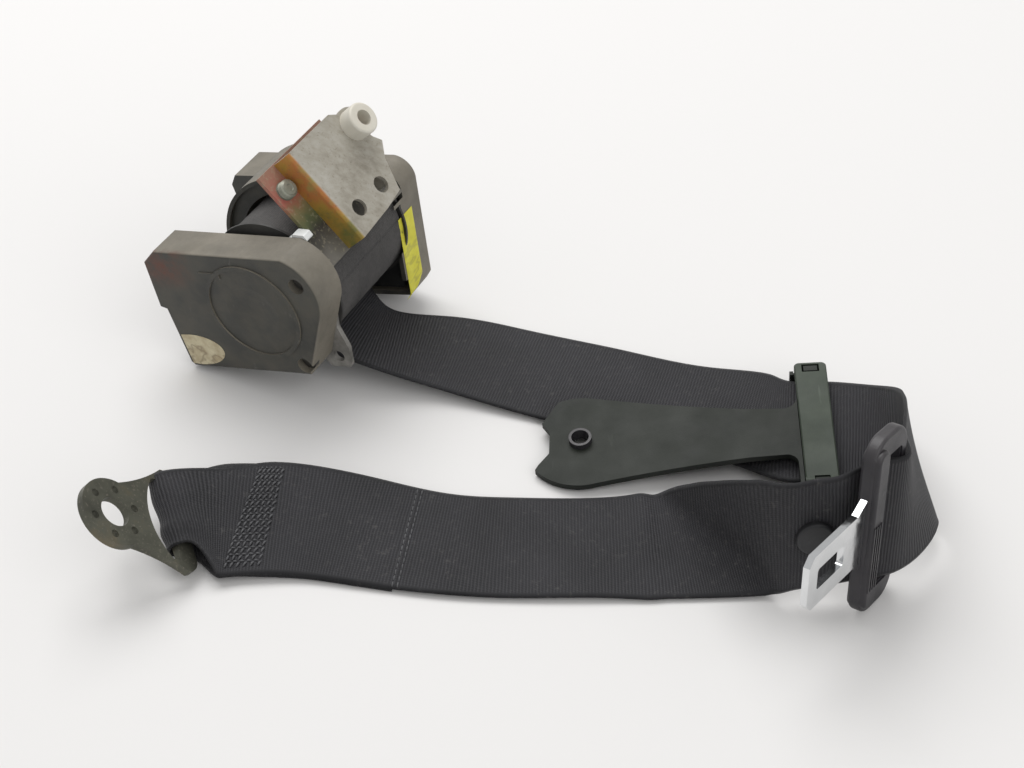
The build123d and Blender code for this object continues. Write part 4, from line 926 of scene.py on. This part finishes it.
def build_stitching(strap_data):
    random.seed(11)
    middle_at = place_along(strap_data, BOX_STITCH_X)
    stitches = []
    for r in range(BOX_ROWS):
        part = (r + 0.5) / BOX_ROWS
        u0 = -BOX_WIDTH / 2 + BOX_WIDTH * r / BOX_ROWS
        u1 = u0 + BOX_WIDTH / BOX_ROWS
        half = BOX_HALF - BOX_TAPER * part
        centre = middle_at + BOX_SHIFT - BOX_SLANT * part
        step = 2 * half / (BOX_COLUMNS - 1)
        for c in range(BOX_COLUMNS):
            s = centre + (c / (BOX_COLUMNS - 1) * 2 - 1) * half
            shift = 0.5 + 0.3 * random.random()
            start, end = (s + shift, u0 + 0.35), (s - shift, u1 - 0.45)
            stitches.append(stitch_between(strap_data, start, end, LONG_LIFT))
            if c < BOX_COLUMNS - 1:
                u = u1 - CROSS_INSET
                start, end = (s + CROSS_SHORT, u), (s + step - CROSS_SHORT, u)
                stitches.append(stitch_between(strap_data, start, end, CROSS_LIFT))
    box = stitch_mesh("box_stitching", stitches, BOX_THREAD)
    seam_at = place_along(strap_data, SEAM_X)
    long = SEAM_WIDTH / SEAM_STITCHES
    stitches = []
    for row in (-SEAM_HALF_GAP, SEAM_HALF_GAP):
        for r in range(SEAM_STITCHES):
            u0 = -SEAM_WIDTH / 2 + long * r
            start, end = (seam_at + row, u0), (seam_at + row + 0.1, u0 + long * SEAM_PART)
            stitches.append(stitch_between(strap_data, start, end, 0.0))
    seam = stitch_mesh("seam_stitching", stitches, SEAM_THREAD)
    return box, seam


web_dark = web_material(
    "web_charcoal", (0.007, 0.007, 0.008), (0.052, 0.051, 0.056), dust=(0.105, 0.10, 0.095)
)
roll_dark = roll_material()
thread = plastic("thread", (0.05, 0.05, 0.053), (0.12, 0.12, 0.125), rough=(0.4, 0.6), grain=0.0001)
front_mat = cover_material("cover_front", True)
cover_mat = cover_material("cover_rear", False)
frame_mat = frame_material()
bracket_mat = bracket_material()
stub_mat = metal(
    "stub_steel", [(0.10, 0.11, 0.085), (0.22, 0.23, 0.18), (0.34, 0.33, 0.28)],
    rough=(0.35, 0.55), metallic=0.5
)
dark_steel = metal(
    "dark_steel", [(0.05, 0.05, 0.048), (0.10, 0.095, 0.085)], rough=(0.4, 0.6), metallic=0.6
)
bright_steel = metal(
    "bright_chrome", [(0.62, 0.63, 0.64), (0.78, 0.79, 0.80)], rough=(0.10, 0.22), metallic=1.0,
    grain=0.00002
)
shaft_steel = metal(
    "shaft_steel", [(0.35, 0.34, 0.32), (0.5, 0.49, 0.47)], rough=(0.25, 0.4), metallic=0.9
)
spring_steel = metal(
    "spring_steel", [(0.12, 0.13, 0.16), (0.26, 0.26, 0.28)], rough=(0.25, 0.4), metallic=0.9
)
nylon = plastic(
    "nylon", (0.60, 0.57, 0.49), (0.74, 0.72, 0.65), dust=(0.42, 0.36, 0.26), top_dust_and_light_amount=0.3,
    rough=(0.35, 0.5)
)
clear = plastic("clear_clip", (0.55, 0.57, 0.56), (0.78, 0.79, 0.78), rough=(0.2, 0.35))
# On the dark plastics below, the dust colour is lighter than the plastic and paints light from above
# on the faces that look up.
guide_mat = plastic(
    "guide_black", (0.008, 0.010, 0.008), (0.017, 0.020, 0.016), dust=(0.055, 0.060, 0.048),
    top_dust_and_light_amount=0.22, rough=(0.46, 0.58), shine=0.22
)
gate_mat = plastic(
    "gate_green", (0.022, 0.030, 0.022), (0.050, 0.062, 0.046), dust=(0.10, 0.12, 0.09),
    top_dust_and_light_amount=0.3, rough=(0.46, 0.6), shine=0.28
)
grip_mat = plastic(
    "grip_black", (0.014, 0.013, 0.016), (0.032, 0.030, 0.034), dust=(0.13, 0.12, 0.12),
    top_dust_and_light_amount=0.3, rough=(0.35, 0.5)
)
button_mat = plastic("button_black", (0.010, 0.010, 0.011), (0.026, 0.026, 0.028), rough=(0.4, 0.55))
die_cast = metal(
    "die_cast", [(0.025, 0.025, 0.024), (0.06, 0.058, 0.055)], rough=(0.45, 0.62), metallic=0.3
)
anchor_mat = metal(
    "anchor_phosphate", [(0.055, 0.055, 0.043), (0.11, 0.11, 0.085), (0.16, 0.13, 0.08)],
    rough=(0.42, 0.6), metallic=0.55, speck=(0.22, 0.20, 0.16)
)
cream = paper("cream_paper", (0.62, 0.56, 0.38), (0.34, 0.26, 0.15), (0.18, 0.13, 0.08))
yellow = paper("yellow_paper", (0.74, 0.70, 0.05), (0.62, 0.56, 0.04), (0.40, 0.36, 0.06))

for material, names in (
    (front_mat, ("front_cover",)),
    (cover_mat, ("rear_cover", "spool_shroud")),
    (frame_mat, ("retractor_frame",)),
    (bracket_mat, ("bracket_plate",)),
    (shaft_steel, ("bracket_screw", "torsion_shaft", "pawl_pin", "sensor_ball", "gate_pin")),
    (dark_steel, ("cover_screws", "lock_pawl")),
    (clear, ("frame_clip",)),
    (nylon, ("mount_bush", "front_bush", "rear_bush", "spring_arbor")),
    (nylon, ("sensor_housing", "sensor_lever")),
    (spring_steel, ("return_spring",)),
    (die_cast, ("spool", "lock_wheel")),
    (guide_mat, ("guide_arm",)),
    (gate_mat, ("guide_gate",)),
    (grip_mat, ("hub_bush", "tongue_grip")),
    (bright_steel, ("tongue_plate",)),
    (button_mat, ("stop_button",)),
    (anchor_mat, ("anchor_plate",)),
    (cream, ("cream_label",)),
    (yellow, ("yellow_label",)),
):
    for node in names:
        dress(node, material)

strap, *strap_data = build_strap()
strap.data.materials.append(web_dark)
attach(strap, "retractor")
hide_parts("webbing", "anchor_fold")

roll = build_roll()
roll.data.materials.append(roll_dark)
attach(roll, "spool")
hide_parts("webbing_roll")

for piece, material, node, slot in (
    (build_stub(), stub_mat, "bracket_screw", "shaft_steel"),
    (build_cream_label(), cream, "cream_label", "label_cream"),
    (build_yellow_label(), yellow, "yellow_label", "label_yellow"),
):
    piece.data.materials.append(material)
    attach(piece, "retractor")
    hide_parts(node)

for piece in build_stitching(strap_data):
    piece.data.materials.append(thread)
    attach(piece, "retractor")


FLOOR_HALF = 6.0
FLOOR_TONE = (0.74, 0.73, 0.72, 1)
LAMPS = (
    ("key", (-0.35, 0.9, 1.5), (1.6, 1.2), 24),
    ("fill", (0.9, -1.0, 1.2), (1.6, 1.6), 9),
)
SKY_STRENGTH = 0.55
CAMERA_PLACE = Vector((0.0, -516.34, 481.49))
CAMERA_TILT = 47.0
CAMERA_LENS = 63.28
CAMERA_SENSOR = 36


def build_floor():
    mesh = bpy.data.meshes.new("floor")
    corners = [(x * FLOOR_HALF, y * FLOOR_HALF, 0) for x, y in ((-1, -1), (1, -1), (1, 1), (-1, 1))]
    mesh.from_pydata(corners, [], [(0, 1, 2, 3)])
    floor = bpy.data.objects.new("floor", mesh)
    bpy.context.scene.collection.objects.link(floor)
    material = bpy.data.materials.new("floor")
    material.use_nodes = True
    tree = material.node_tree
    shader = tree.nodes["Principled BSDF"]
    shader.inputs["Base Color"].default_value = FLOOR_TONE
    shader.inputs["Roughness"].default_value = 0.9
    shader.inputs["Specular IOR Level"].default_value = 0.1
    mesh.materials.append(material)


def area_lamp(name, place, size, power):
    data = bpy.data.lights.new(name, "AREA")
    data.shape = "RECTANGLE"
    data.size, data.size_y = size
    data.energy = power
    lamp = bpy.data.objects.new(name, data)
    lamp.location = place
    lamp.rotation_euler = (-Vector(place)).to_track_quat("-Z", "Y").to_euler()
    bpy.context.scene.collection.objects.link(lamp)


build_floor()
for lamp in LAMPS:
    area_lamp(*lamp)
world = bpy.data.worlds.new("world")
world.use_nodes = True
sky = world.node_tree.nodes["Background"]
sky.inputs[0].default_value = (1, 1, 1, 1)
sky.inputs[1].default_value = SKY_STRENGTH
bpy.context.scene.world = world

camera_data = bpy.data.cameras.new("camera")
camera_data.lens = CAMERA_LENS
camera_data.sensor_width = CAMERA_SENSOR
camera_data.clip_start = 0.01
camera = bpy.data.objects.new("camera", camera_data)
camera.location = CAMERA_PLACE * MM + SHIFT * MM
camera.rotation_euler = (math.radians(CAMERA_TILT), 0, 0)
bpy.context.scene.collection.objects.link(camera)
bpy.context.scene.camera = camera
bpy.context.scene.view_settings.view_transform = "Standard"
